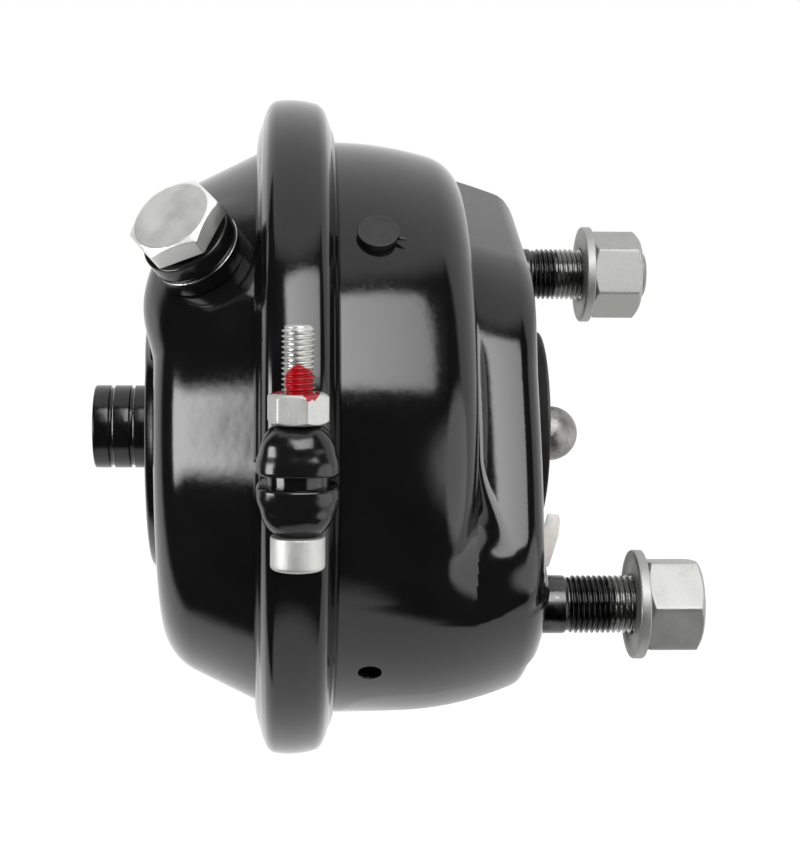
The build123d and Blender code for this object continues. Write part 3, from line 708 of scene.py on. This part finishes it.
def pressureShellPiece():
    # turned shell, its skin pushed out where the angled port's pad stands
    outer = denser(shellPath(0.0), 1.2)
    path = np.array(outer + shellPath(sheetT)[::-1])
    rows, cols = len(path), 400
    theta = fullTurn(cols)[None, :]
    points = placed(mainAxis, path[:, :1], path[:, 1:], theta)
    way = np.gradient(np.array(outer), axis=0)
    way /= np.linalg.norm(way, axis=1)[:, None]
    count = len(outer) * cols
    turn = np.broadcast_to(theta, (len(outer), cols)).ravel()
    nx, nr = np.repeat(-way[:, 1], cols), np.repeat(way[:, 0], cols)
    normal = np.stack([nx, nr * np.cos(turn), nr * np.sin(turn)], 1)
    start = points[:count]
    low, high = np.zeros(count), np.full(count, 16.0)
    for _ in range(26):
        middle = (low + high) / 2
        inside = roundMin(middle, padDistance(start + normal * middle[:, None]), pad["foot"]) < 0
        low, high = np.where(inside, middle, low), np.where(inside, high, middle)
    points[:count] = start + normal * low[:, None]
    faces = gridFaces(rows, cols).tolist() + closingFaces(rows, cols)
    return makeMesh("pressureShell", points, faces, blackPaint)


pressureHousing = joinPieces("pressureHousing", [pressureShellPiece(), flange("pressureRim", -1, 6.0)])
settle(pressureHousing, "housing", "black_paint", "pressure_housing")
print("pressure housing turned")


# clamp band with its two ears, and the bolt that pulls them together
band = {"r": 94.8, "crown": 14.5, "side": 18.1, "foot": 21.8, "drop": 3.6, "sheet": 2.8, "footR": 83.3,
        "crownRound": 3.0, "sideRound": 7.0, "lean": 1.5, "arch": 25.0, "archFrom": 86.0, "archOver": 4.0,
        "thin": 1.2, "gap": 3.0, "clock": math.radians(96.75), "lugR": 105.5}
shoulderR = band["r"] - band["drop"]
half = [(band["foot"] / 2, band["footR"]), (band["side"] / 2, shoulderR), (band["crown"] / 2, band["r"])]
outline = [(-x, r) for x, r in half] + half[::-1]
outline = roundedPath(outline, [band["sideRound"], band["crownRound"], band["crownRound"], band["sideRound"]])


def crowned(x, r):
    share = min(max((r - band["archFrom"]) / band["archOver"], 0.0), 1.0)
    return x, r - (x + band["lean"]) ** 2 / (2 * band["arch"]) * share


outline = [crowned(x, r) for x, r in denser(outline, 1.0)]
footIn, legIn = band["foot"] / 2 - band["sheet"], band["side"] / 2 - band["sheet"]
topIn = band["r"] - band["sheet"] - band["thin"]
lining = [(footIn, band["footR"]), (legIn, shoulderR), (legIn, topIn)]
lining += [(-x, r) for x, r in lining[::-1]]
bandPath = [(clampX + x, r) for x, r in outline + lining]
gapAngle = math.asin(band["gap"] / 2 / band["r"])
lugTheta = math.atan2(math.cos(band["clock"]), -math.sin(band["clock"]))
bandArc = (lugTheta + gapAngle, lugTheta + 2 * math.pi - gapAngle)
bandRing = spin("bandRing", mainAxis, bandPath, blackPaint, 520, closed=True, arc=bandArc)

lugOut = outward(band["clock"])
boltWay = Vector((0, math.cos(band["clock"]), math.sin(band["clock"])))
boltAxis = axes(Vector((clampX, 0, 0)) + lugOut * band["lugR"], boltWay, (1, 0, 0))
ear = {"half": 9.85, "out": 8.8, "in": 12.6, "high": 11.8, "taper": 12.6, "edge": 0.7,
       "lump": 0.12, "waist": 0.30, "waistAt": 5.2, "waistWide": 1.6}


def earPiece(name, hand):
    # rounded ear: full at the gap, drawn in towards the bolt's end
    theta = fullTurn(120)[None, :]
    h = np.concatenate([[0, 0.1, 0.3, 0.6, 1.0], np.linspace(1.6, ear["high"], 26)])[:, None]
    shrink = (1 - (h / ear["taper"]) ** 2.6) ** (1 / 2.2)
    depth = np.maximum(ear["edge"] ** 2 - (ear["edge"] - h) ** 2, 0)
    soft = np.where(h < ear["edge"], ear["edge"] - np.sqrt(depth), 0)
    way = -1.0 if (boltAxis[3] @ lugOut) < 0 else 1.0
    c, s = np.cos(theta), np.sin(theta) * way
    deep = np.where(s > 0, ear["out"] * shrink, ear["in"])
    power = np.where(s > 0, 2.4, 4.0)
    r = ((np.abs(c) / (ear["half"] * shrink)) ** power + (np.abs(s) / deep) ** power) ** (-1 / power) - soft
    lumps = np.sin(2 * theta + 0.9 + 0.25 * h) * np.sin(0.55 * h + 0.6 * hand)
    lumps = lumps + 0.5 * np.sin(5 * theta - 0.7 * h + hand)
    r = r + ear["lump"] * lumps * np.clip(h / 2.0, 0, 1)
    r = r - ear["waist"] * np.exp(-((h - ear["waistAt"]) / ear["waistWide"]) ** 2)
    return polarPiece(name, boltAxis, hand * (h + band["gap"] / 2), r, theta, castPaint)


clampBand = joinPieces("clampBand", [bandRing, earPiece("earA", 1), earPiece("earB", -1)])
settle(clampBand, "housing", "black_paint", "clamp_band")
spacerPath = roundedPath([(-1.6, 3.9), (-1.6, 7.3), (1.6, 7.3), (1.6, 3.9)], [0.2, 0.2])
spacer = spin("clampSpacer", boltAxis, spacerPath, blackPaint, 96)
settle(spacer, "housing", "black_paint", "clamp_spacer")
print("clamp band made")


def threadForm(h, theta, pitch, crest, root):
    # 60 degree thread with flat crests, right hand
    phase = (h / pitch - theta / (2 * math.pi)) % 1.0
    slope = np.clip((np.abs(phase - 0.5) * 2 - 0.14) / 0.72, 0, 1)
    return crest + (root - crest) * slope


def hexagonR(theta, flats, rounding=0.22, turn=0.0):
    # distance to the side of a hexagon, its corners a little rounded
    sides = [flats / 2 / np.maximum(np.cos(theta - turn - k * math.pi / 3), 0.05) for k in range(6)]
    return -rounding * np.log(sum(np.exp(-side / rounding) for side in sides))


def hexAngles(turn=0.0):
    # closer together near the six corners
    s = np.linspace(-1, 1, 29)[:-1]
    bunched = np.sign(s) * (1 - (1 - np.abs(s)) ** 1.7) * math.pi / 6
    return np.sort(np.concatenate([(bunched + k * math.pi / 3) for k in range(6)]))[None, :] + turn


def softMin(a, b, k=0.12):
    return -k * np.logaddexp(-a / k, -b / k)


def nutPiece(name, at, nut, material):
    # hexagon with its corners turned down, and a bore with countersinks
    theta = hexAngles(nut["turn"])
    high, crest = nut["high"], nut["flats"] / 2 * 0.95
    ends = np.linspace(0, nut["flats"] * 0.075, 15)
    h = np.concatenate([ends, np.linspace(ends[-1], high - ends[-1], 6)[1:-1], high - ends[::-1]])[:, None]
    r = hexagonR(theta, nut["flats"], 0.2, nut["turn"])
    steep = 1 / math.tan(math.radians(30))
    r = softMin(r, crest + (high - h) * steep)
    if nut["both"]:
        r = softMin(r, crest + h * steep)
    rows = [np.broadcast_arrays(h, r)]
    bore = nut["bore"]
    rings = [(high, crest * 0.97), (high, crest * 0.6), (high, 0.05)]
    if bore:
        sink = [(high, bore + 1.25), (high - 0.15, bore + 1.1), (high - 1.2, bore)]
        rings = sink + [(high - height, radius) for height, radius in sink[::-1]]
    rows += [(np.full(theta.shape, height), np.full(theta.shape, radius)) for height, radius in rings]
    return stackedPiece(name, at, rows, theta, material, closed=bool(bore))


def studPiece(name, at, stud, material):
    # neck, real thread and chamfered end; heights are from the mounting face
    theta = fullTurn(84)[None, :]
    step = stud["pitch"] / 12
    count = int((stud["end"] - stud["threadFrom"]) / step)
    h = np.linspace(stud["threadFrom"], stud["end"], count)[:, None]
    r = threadForm(h, theta, stud["pitch"], stud["crest"], stud["root"])
    r = np.minimum(r, stud["root"] - 0.35 + (stud["end"] - h) * 1.0)
    fade = np.clip((h - stud["threadFrom"]) / (stud["pitch"] * 1.2), 0, 1)
    r = r * fade + (stud["root"] + 0.2) * (1 - fade)
    nh, nr = (np.array(part)[:, None] + 0 * theta for part in zip(*stud["neck"]))
    tip = np.full(theta.shape, stud["end"]), np.full(theta.shape, 0.05)
    return stackedPiece(name, at, [(nh, nr), (h + 0 * theta, r), tip], theta, material)


# clamp bolt and nut: bright thread, red sealing paint run over the nut
clampBolt = {"headR": 6.5, "head": 8.0, "crest": 3.95, "root": 3.2, "pitch": 1.25, "lugTop": 13.3,
             "plain": 10.0, "end": 36.4, "socket": 6.0, "socketDeep": 4.0}


def sealedMaterial(name, base, seal):
    # bright metal with red paint brushed on: an arch on the thread, a run with a drip on the nut
    material = metalMaterial(name, base)
    tree = material.node_tree
    shader = tree.nodes["Principled BSDF"]
    place = objectPlace(tree)
    calc = partial(mathNode, tree)

    def step(value, low, high):
        return spread(tree, value, 0, 1, low * mm, high * mm)

    wander = spread(tree, noise(tree, 520.0, 2.5), -seal["ragged"] * mm, seal["ragged"] * mm)
    up = calc("ADD", place["Z"], wander)
    lean = calc("ADD", place["X"], calc("MULTIPLY", wander, 0.8))
    if "arch" in seal:
        q = calc("MULTIPLY", calc("SUBTRACT", lean, seal["middle"] * mm), 1 / (seal["arch"] * mm))
        sag = calc("MULTIPLY", calc("MULTIPLY", q, q), seal["sag"] * mm)
        top = calc("SUBTRACT", seal["top"] * mm, sag)
        wet = step(calc("SUBTRACT", top, up), -0.08, 0.08)
        wet = calc("MULTIPLY", wet, spread(tree, calc("ABSOLUTE", q), 1, 0, 1.0, 1.06))
        wet = calc("MULTIPLY", wet, step(place["Z"], seal["top"] - 12.0, seal["top"] - 11.5))
    else:
        drip = step(lean, seal["drip"] - 1.6, seal["drip"] - 0.2)
        drip = calc("MULTIPLY", drip, calc("SUBTRACT", 1.0, step(lean, seal["drip"] + 1.6, seal["drip"] + 2.8)))
        left = calc("SUBTRACT", 1.0, step(lean, seal["from"] - 0.8, seal["from"]))
        ends = calc("ADD", step(lean, seal["to"], seal["to"] + 0.8), left)
        reach = calc("ADD", seal["reach"] * mm, calc("MULTIPLY", drip, seal["run"] * mm))
        reach = calc("SUBTRACT", reach, calc("MULTIPLY", ends, 3 * mm))
        wet = step(calc("ADD", calc("SUBTRACT", up, seal["top"] * mm), reach), -0.06, 0.06)
    front = spread(tree, place["Y"], 1, 0, seal["back"] * mm, (seal["back"] + 1.5) * mm)
    wet = calc("MULTIPLY", wet, front)
    color, rough = (shader.inputs[key].links[0].from_socket for key in ("Base Color", "Roughness"))
    tree.links.new(tint(tree, wet, color, (0.30, 0.002, 0.007)), shader.inputs["Base Color"])
    tree.links.new(calc("SUBTRACT", 1.0, wet), shader.inputs["Metallic"])
    glossy = calc("SUBTRACT", 1.0, calc("MULTIPLY", wet, seal["gloss"]))
    tree.links.new(calc("MULTIPLY", rough, glossy), shader.inputs["Roughness"])
    return material


boltMetal = {"color": (0.58, 0.58, 0.565), "second": (0.66, 0.66, 0.64), "speck": (0.52, 0.52, 0.51),
             "rough": 0.33, "dull": 0.10, "blotch": 170.0, "grain": 1500.0, "relief": 0.00004}
satinZinc = metalMaterial("satinZinc", {**boltMetal, "rough": 0.56, "relief": 0.00006})
boltCentre = lugOut * band["lugR"]
clampNutLook = {"flats": 13.0, "high": 7.2, "bore": 4.0, "turn": math.radians(18.0), "both": True}
nutTop = boltCentre.z + clampBolt["lugTop"] + clampNutLook["high"]
sealedThread = sealedMaterial("sealedThread", boltMetal, {
    "gloss": 0.5, "ragged": 0.45, "middle": clampX + 0.3, "arch": 3.3, "top": nutTop + 6.3, "sag": 2.2,
    "back": boltCentre.y + 3.0})
sealedNut = sealedMaterial("sealedNut", {**boltMetal, "rough": 0.55, "relief": 0.00008}, {
    "gloss": 0.7, "ragged": 0.30, "drip": clampX + 2.2, "from": clampX - 6.4, "to": clampX + 5.0,
    "top": nutTop, "reach": 0.45, "run": 1.6, "back": boltCentre.y + 2.0})


def clampBoltPiece():
    bolt = clampBolt
    theta = hexAngles()
    ones = 0 * theta
    bottom, lugEnd = -(bolt["lugTop"] + bolt["head"]), -bolt["lugTop"]
    deep = bottom + bolt["socketDeep"]
    socket = hexagonR(theta, bolt["socket"], 0.1)
    rows = [(ones + deep, ones + 0.05), (ones + deep, socket), (ones + bottom + 0.4, socket),
            (ones + bottom, socket + 0.25)]
    outside = [(bottom, 3.9), (bottom, bolt["headR"]), (lugEnd, bolt["headR"]), (lugEnd, 4.0)]
    rows += [(ones + h, ones + r) for h, r in denser(roundedPath(outside, [1.1, 0.35]), 1.0)]
    rows.append((ones + lugEnd, ones + 0.05))
    head = stackedPiece("clampBoltHead", boltAxis, rows, theta, satinZinc)
    rows = [(ones + h, ones + bolt["crest"]) for h in (lugEnd + 0.1, 0.0, bolt["plain"] - 0.1)]
    count = int((bolt["end"] - bolt["plain"]) / (bolt["pitch"] / 14))
    for h in np.linspace(bolt["plain"], bolt["end"], count):
        r = threadForm(h, theta, bolt["pitch"], bolt["crest"], bolt["root"])
        rows.append((ones + h, np.minimum(r, bolt["root"] - 0.3 + (bolt["end"] - h))))
    rows.append((ones + bolt["end"], ones + 0.05))
    thread = stackedPiece("clampBoltThread", boltAxis, rows, theta, sealedThread)
    return joinPieces("clampBolt", [head, thread])


settle(clampBoltPiece(), "housing", "zinc_bright", "clamp_bolt")
clampNutPlace = axes(boltAxis[0] + boltAxis[1] * clampBolt["lugTop"], boltAxis[1], (1, 0, 0))
clampNut = nutPiece("clampNut", clampNutPlace, clampNutLook, sealedNut)
settle(clampNut, "housing", "zinc_bright", "clamp_nut")
print("clamp bolt and nut made")


# studs, washers and nuts
studMetal = metalMaterial("blackStud", {
    "color": (0.050, 0.050, 0.051), "second": (0.085, 0.085, 0.085), "speck": (0.13, 0.13, 0.13),
    "rough": 0.17, "dull": 0.12, "blotch": 260.0, "grain": 1200.0, "relief": 0.00002})


def bareEnd(material, bare):
    # the black coat ends and grey steel shows, further out on the lower stud
    tree = material.node_tree
    base = tree.nodes["Principled BSDF"].inputs["Base Color"]
    place = objectPlace(tree)
    uneven = mathNode(tree, "ADD", place["X"], spread(tree, noise(tree, 300.0), -0.001, 0.001))
    lower = mathNode(tree, "LESS_THAN", place["Z"], 0.0)
    further = mathNode(tree, "MULTIPLY", lower, (bare["lower"] - bare["upper"]) * mm)
    own = mathNode(tree, "SUBTRACT", uneven, further)
    share = spread(tree, own, 0, 1, (bare["upper"] - bare["soft"]) * mm, (bare["upper"] + bare["soft"]) * mm)
    tree.links.new(tint(tree, share, base.links[0].from_socket, bare["color"]), base)


bareEnd(studMetal, {"upper": 14.1, "lower": 18.7, "soft": 0.5, "color": (0.27, 0.27, 0.265)})
stud = {"pitch": 1.5, "crest": 7.95, "root": 7.05, "end": 42.7, "threadFrom": 6.4,
        "neck": [(-2.4, 8.0), (0.0, 8.0), (5.4, 8.0), (5.9, 7.93), (6.2, 7.7), (6.38, 7.3)]}
washer = {"r": 15.0, "bore": 8.6, "thick": 3.0}
nut = {"flats": 24.0, "high": 15.4, "bore": 7.45, "both": True}
for name, spot, washerX, turn in (("upper", upperStud, 22.4, 0.0), ("lower", lowerStud, 24.8, 30.0)):
    at = axes((0, *spot), (1, 0, 0), (0, 1, 0))
    settle(studPiece(name + "Stud", at, stud, studMetal), "housing", "black_steel", name + "_stud")
    washerEnd, bore = washerX + washer["thick"], washer["bore"]
    rim = [(washerX, bore), (washerX, washer["r"]), (washerEnd, washer["r"]), (washerEnd, bore),
           (washerX, bore - 0.01)]
    rim = roundedPath(rim, [0.7, 0.35, 0.3])[:-1]
    washerPiece = spin(name + "Washer", at, rim, zincPlate, 144, closed=True)
    settle(washerPiece, name + "_washer", "zinc_steel", name + "_washer")
    nutAt = axes((washerEnd, *spot), (1, 0, 0), (0, 1, 0))
    piece = nutPiece(name + "Nut", nutAt, {**nut, "turn": math.radians(turn)}, zincPlate)
    settle(piece, name + "_nut", "zinc_steel", name + "_nut")
print("studs, washers and nuts made")


# air ports: two grooved bosses, one open to the back and one closed by a hexagon plug
port = {"r": 12.1, "bore": 7.19, "duct": 4.0, "deep": 14.0, "sink": 0.9, "groove": 0.75, "land": 4.6,
        "grooveWide": 1.3, "slope": 0.15, "edge": 0.6, "highlightIn": 0.30, "highlightHalf": (0.13, 0.33)}


def portPiece(name, at, length, material):
    # heights run inwards from the open face
    wide, slope, edge = port["grooveWide"], port["slope"], port["edge"]
    outer, low = port["r"], port["r"] - port["groove"]
    deep, bore, sink = port["deep"], port["bore"], port["sink"]
    corners = [(-deep, port["duct"]), (-deep + 0.01, bore), (-sink, bore), (0.0, bore + sink), (0.0, outer)]
    radii = [0.0, 0.0, 0.1, edge]
    grooves = [-ring * (port["land"] + wide) for ring in (1, 2)]
    for far in grooves:
        corners += [(far + wide, outer), (far + wide - slope, low), (far + slope, low), (far, outer)]
        radii += [0.3, 0.15, 0.15, 0.3]
    corners.append((-length, outer))
    path = denser(roundedPath(corners, radii, 0.12), 1.5)
    pieces = [spin(name, at, path, material, 144, caps=(True, False))]
    for far in grooves:
        # bright metal bead along the edge of each groove: a painted highlight line, not thin paint
        middle, half = (far + 0.04, outer - port["highlightIn"]), port["highlightHalf"]
        bead = [(middle[0] + half[0] * math.cos(t), middle[1] + half[1] * math.sin(t)) for t in fullTurn(12)]
        pieces.append(spin(name + "Edge", at, bead, grooveHighlightMetal, 144, closed=True))
    return joinPieces(name, pieces)


axialAt = axes((-126.3, 0, 0), (-1, 0, 0), (0, 1, 0))
settle(portPiece("axialPort", axialAt, 17.2, castPaint), "housing", "black_paint", "axial_port")
plugSide = Vector((0, angledOut.z, -angledOut.y))
angledAt = axes(angledCentre, angledOut, plugSide)
settle(portPiece("angledPort", angledAt, angled["long"], castPaint), "housing", "black_paint", "angled_port")
plugAt = axes(angledCentre + angledOut * 1.6, angledOut, plugSide)
plugLook = {"flats": 22.0, "high": 5.7, "bore": 0, "turn": math.radians(3.0), "both": False}
plugHead = nutPiece("plugHead", plugAt, plugLook, brightZinc)
plugPath = [(-9.0, 0.05), (-9.0, 6.4), (-8.2, 7.1), (0.0, 7.1), (0.0, 0.05)]
plugShank = spin("plugShank", plugAt, plugPath, brightZinc, 96)
settle(joinPieces("portPlug", [plugHead, plugShank]), "housing", "zinc_bright", "port_plug")
sealPath = roundedPath([(0.0, 7.3), (0.0, 9.6), (1.6, 9.6), (1.6, 7.3)], [0.6, 0.6])
settle(spin("plugSeal", angledAt, sealPath, rubber, 96, closed=True), "housing", "rubber", "plug_seal")
print("ports made")


# boot: lip outside the mounting face, bellows inside, collar on the push rod
boot = {
    "lip": [(-6.5, 22.4), (-6.5, 29.5), (-2.6, 29.5), (-2.6, 25.7), (0.0, 25.7), (0.1, 27.0), (2.9, 28.4),
            (3.6, 28.4), (3.6, 27.2), (1.2, 25.4), (1.2, 22.4), (0.9, 22.0), (-6.2, 22.0)],
    "lipRound": [0.3, 0.3, 0.2, 0.2, 0.3, 0.5, 0.3, 0.4, 0.8, 0.5, 0.2],
    "foldX": -5.75, "step": 3.3, "folds": 6, "foldIn": 13.6, "foldOut": 23.9, "thick": 1.3, "collarX": -28.85}
bootLip = spin("bootLip", mainAxis, roundedPath(boot["lip"], boot["lipRound"]), rubber, 192, closed=True)
creases = [(boot["foldX"] - n * boot["step"], boot["foldIn"] if n % 2 else boot["foldOut"])
           for n in range(1, boot["folds"] + 1)]
creases = [(-4.4, 22.6), (boot["foldX"], 23.6)] + creases + [(boot["collarX"], 11.2), (-30.2, 10.6)]
foldLine = denser(roundedPath(creases, [1.0] * (len(creases) - 2)), 1.2)
bellows = spin("bellows", mainAxis, thicken(foldLine, boot["thick"]), rubber, 144, closed=True)
bootPiece = joinPieces("bootBellows", [bootLip, bellows])
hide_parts("boot")
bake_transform(bootPiece)
pivotX = -84.4
rodLine = Vector((math.cos(math.radians(1.0)), 0, -math.sin(math.radians(1.0))))
rodAt = axes((pivotX, 0, 0), rodLine, (0, 1, 0))
collarEnd = boot["collarX"] - pivotX
collarPath = [(collarEnd - 5.2, 8.3), (collarEnd - 5.2, 11.0), (collarEnd - 0.2, 11.0), (collarEnd + 1.2, 10.2),
              (collarEnd + 1.2, 8.3)]
collar = spin("bootCollar", rodAt, roundedPath(collarPath, [0.6, 0.8, 0.5]), rubber, 96, closed=True)
settle(collar, "push_rod", "rubber", "boot")

# push rod, push plate and the pieces behind the mounting face
rod = {"r": 8.0, "foot": 12.0, "end": 15.7}
rodReach = rod["end"] - rod["r"] - pivotX
footArc = np.linspace(0.01, math.pi - math.asin(rod["r"] / rod["foot"]), 34)
rodPath = [(-rod["foot"] * math.cos(t), rod["foot"] * math.sin(t)) for t in footArc]
rodPath += denser([rodPath[-1], (rodReach, rod["r"])], 3.0)[1:]
ballArc = np.linspace(0.06, math.pi / 2 - 0.01, 24)
rodPath += [(rodReach + rod["r"] * math.sin(t), rod["r"] * math.cos(t)) for t in ballArc]
settle(spin("pushRod", rodAt, rodPath, plainSteel, 120), "push_rod", "plain_steel", "push_rod")

# hidden pieces keep their plain shapes
hidden = {"push_plate": plainSteel, "spring_seat": zincPlate, "stud_brace": zincPlate, "boot_clip": zincPlate}
for node, material in hidden.items():
    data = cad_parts[node].data
    for number in range(len(data.materials)):
        data.materials[number] = material


# diaphragm: rim in the clamp, wall along the shell, middle on the push plate
membrane = {"outer": 2.9, "inner": 5.9, "bendX": -70.0, "bendR": 74.6, "flatR": 20, "rim": 89.6, "half": 1.7}
rimLow, rimHigh = clampX - membrane["half"], clampX + membrane["half"]
flatIn, flatOut = shell["backX"] + membrane["inner"] - 0.1, shell["backX"] + membrane["outer"]
bendX, bendR = membrane["bendX"], membrane["bendR"]
insideSkin = [(x, r) for x, r in shellPath(membrane["inner"]) if r < bendR and x < bendX]
outsideSkin = [(x, r) for x, r in shellPath(membrane["outer"]) if x < bendX - 0.6]
inner = [(flatIn, 2.0)] + [(max(x, flatIn), r) for x, r in insideSkin if r > membrane["flatR"]]
outer = [(flatOut, 2.0)] + [(max(x, flatOut), r) for x, r in outsideSkin if r > membrane["flatR"]]
rim = [(rimLow, 78.6), (rimLow, membrane["rim"]), (rimHigh, membrane["rim"]), (rimHigh, 77.5)]
diaphragm = spin("diaphragm", mainAxis, denser(outer + rim + inner[::-1], 2.5), rubber, 160)
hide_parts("diaphragm")
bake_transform(diaphragm)


# return spring: round wire wound to a cone, running from the seat to the plate
spring = {"wire": 2.3, "bigR": 41.5, "smallR": 34.0, "turns": 6.0, "from": -96.4, "to": -10.4, "sides": 14}


def springPiece():
    t = np.linspace(0, 1, 420)
    angle = t * spring["turns"] * 2 * math.pi
    x = spring["from"] + (spring["to"] - spring["from"]) * t
    r = spring["bigR"] + (spring["smallR"] - spring["bigR"]) * t
    line = np.stack([x, r * np.cos(angle), r * np.sin(angle)], 1)
    way = np.gradient(line, axis=0)
    way /= np.linalg.norm(way, axis=1)[:, None]
    out = np.stack([0 * x, np.cos(angle), np.sin(angle)], 1)
    out -= (out * way).sum(1)[:, None] * way
    out /= np.linalg.norm(out, axis=1)[:, None]
    third = np.cross(way, out)
    around = fullTurn(spring["sides"])[None, :, None]
    ring = (out[:, None] * np.cos(around) + third[:, None] * np.sin(around)) * spring["wire"]
    points = (line[:, None] + ring).reshape(-1, 3)
    faces = gridFaces(len(t), spring["sides"]).tolist() + endFaces(len(t), spring["sides"])
    return makeMesh("returnSpring", points, faces, springSteel)


coil = springPiece()
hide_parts("return_spring")
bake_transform(coil)
print("moving pieces made")


# small plastic pieces
plug = {"x": -47.3, "clock": math.radians(53.4), "r": 5.45, "high": 1.6, "dishR": 4.6, "tail": 0.8}
plugOut = outward(plug["clock"])
plugPlace = axes(Vector((plug["x"], 0, 0)) + plugOut * cupR, plugOut, (1, 0, 0))
capPath = [(-sheetT, 3.2), (-0.6, 3.2), (-0.6, plug["r"] - 0.3), (plug["high"], plug["r"]),
           (plug["high"], 0.05)]


def dished(h, r):
    # shallow rings pressed into the top
    onTop = h > plug["high"] - 0.05 and r < plug["dishR"]
    return h - (0.10 * (0.5 + 0.5 * math.cos(r * 5.2)) if onTop else 0), r


rings = [dished(h, r) for h, r in denser(roundedPath(capPath, [0.2, 0.1, 0.2, 0.7]), 0.35)]
capPiece = spin("drainCap", plugPlace, rings, blackPlastic, 96)
down = -0.24 if plugPlace[3].z > 0 else 0.24
tailWay = (Vector((1, 0, 0)) * 0.97 + plugPlace[3] * down).normalized()
tailAt = axes(plugPlace[0] + tailWay * (plug["r"] - plug["tail"]) + plugOut * 0.25, tailWay, plugOut)
tailPath = [(0, 0.05), (0, 0.6), (1.6, 0.5), (2.7, 0.25), (3.2, 0.05)]
tail = spin("drainTail", tailAt, tailPath, blackPlastic, 24)
settle(joinPieces("drainPlug", [capPiece, tail]), "housing", "black_plastic", "drain_plug")

# white plug with a pull tab, below the boot
vent = {"y": -14.0, "z": -34.0, "capRound": [0.3, 0.1, 0.1, 0.4],
        "cap": [(-2.5, 0.05), (-2.5, 2.9), (0.02, 2.9), (0.02, 4.6), (1.2, 4.6), (1.2, 0.05)]}
ventAt = axes((0, vent["y"], vent["z"]), (1, 0, 0), (0, 1, 0))
ventCap = spin("ventCap", ventAt, roundedPath(vent["cap"], vent["capRound"]), whitePlastic, 72)
tabLine = [(0.6, -36.5), (0.6, -32.5), (3.9, -28.6), (5.0, -24.7), (8.3, -25.3), (8.6, -27.0), (8.2, -31.0),
           (6.8, -35.5), (5.4, -40.0), (4.6, -40.5)]


def tabPiece():
    # flat tab with soft edges
    loop = np.array(roundedPath([tabLine[-1]] + tabLine + [tabLine[0]], [0.8] * len(tabLine))[1:-1])
    middle = loop.mean(0)
    points = []
    layers = ((-0.6, 0.93), (-0.45, 0.98), (0.0, 1.0), (0.45, 0.98), (0.6, 0.93))
    for y, shrink in layers:
        points += [(x, vent["y"] + y, z) for x, z in middle + (loop - middle) * shrink]
    rows, cols = len(layers), len(loop)
    faces = gridFaces(rows, cols).tolist() + endFaces(rows, cols)
    return makeMesh("ventTab", points, faces, whitePlastic)


settle(joinPieces("facePlug", [ventCap, tabPiece()]), "housing", "white_plastic", "face_plug")
print("small pieces made")
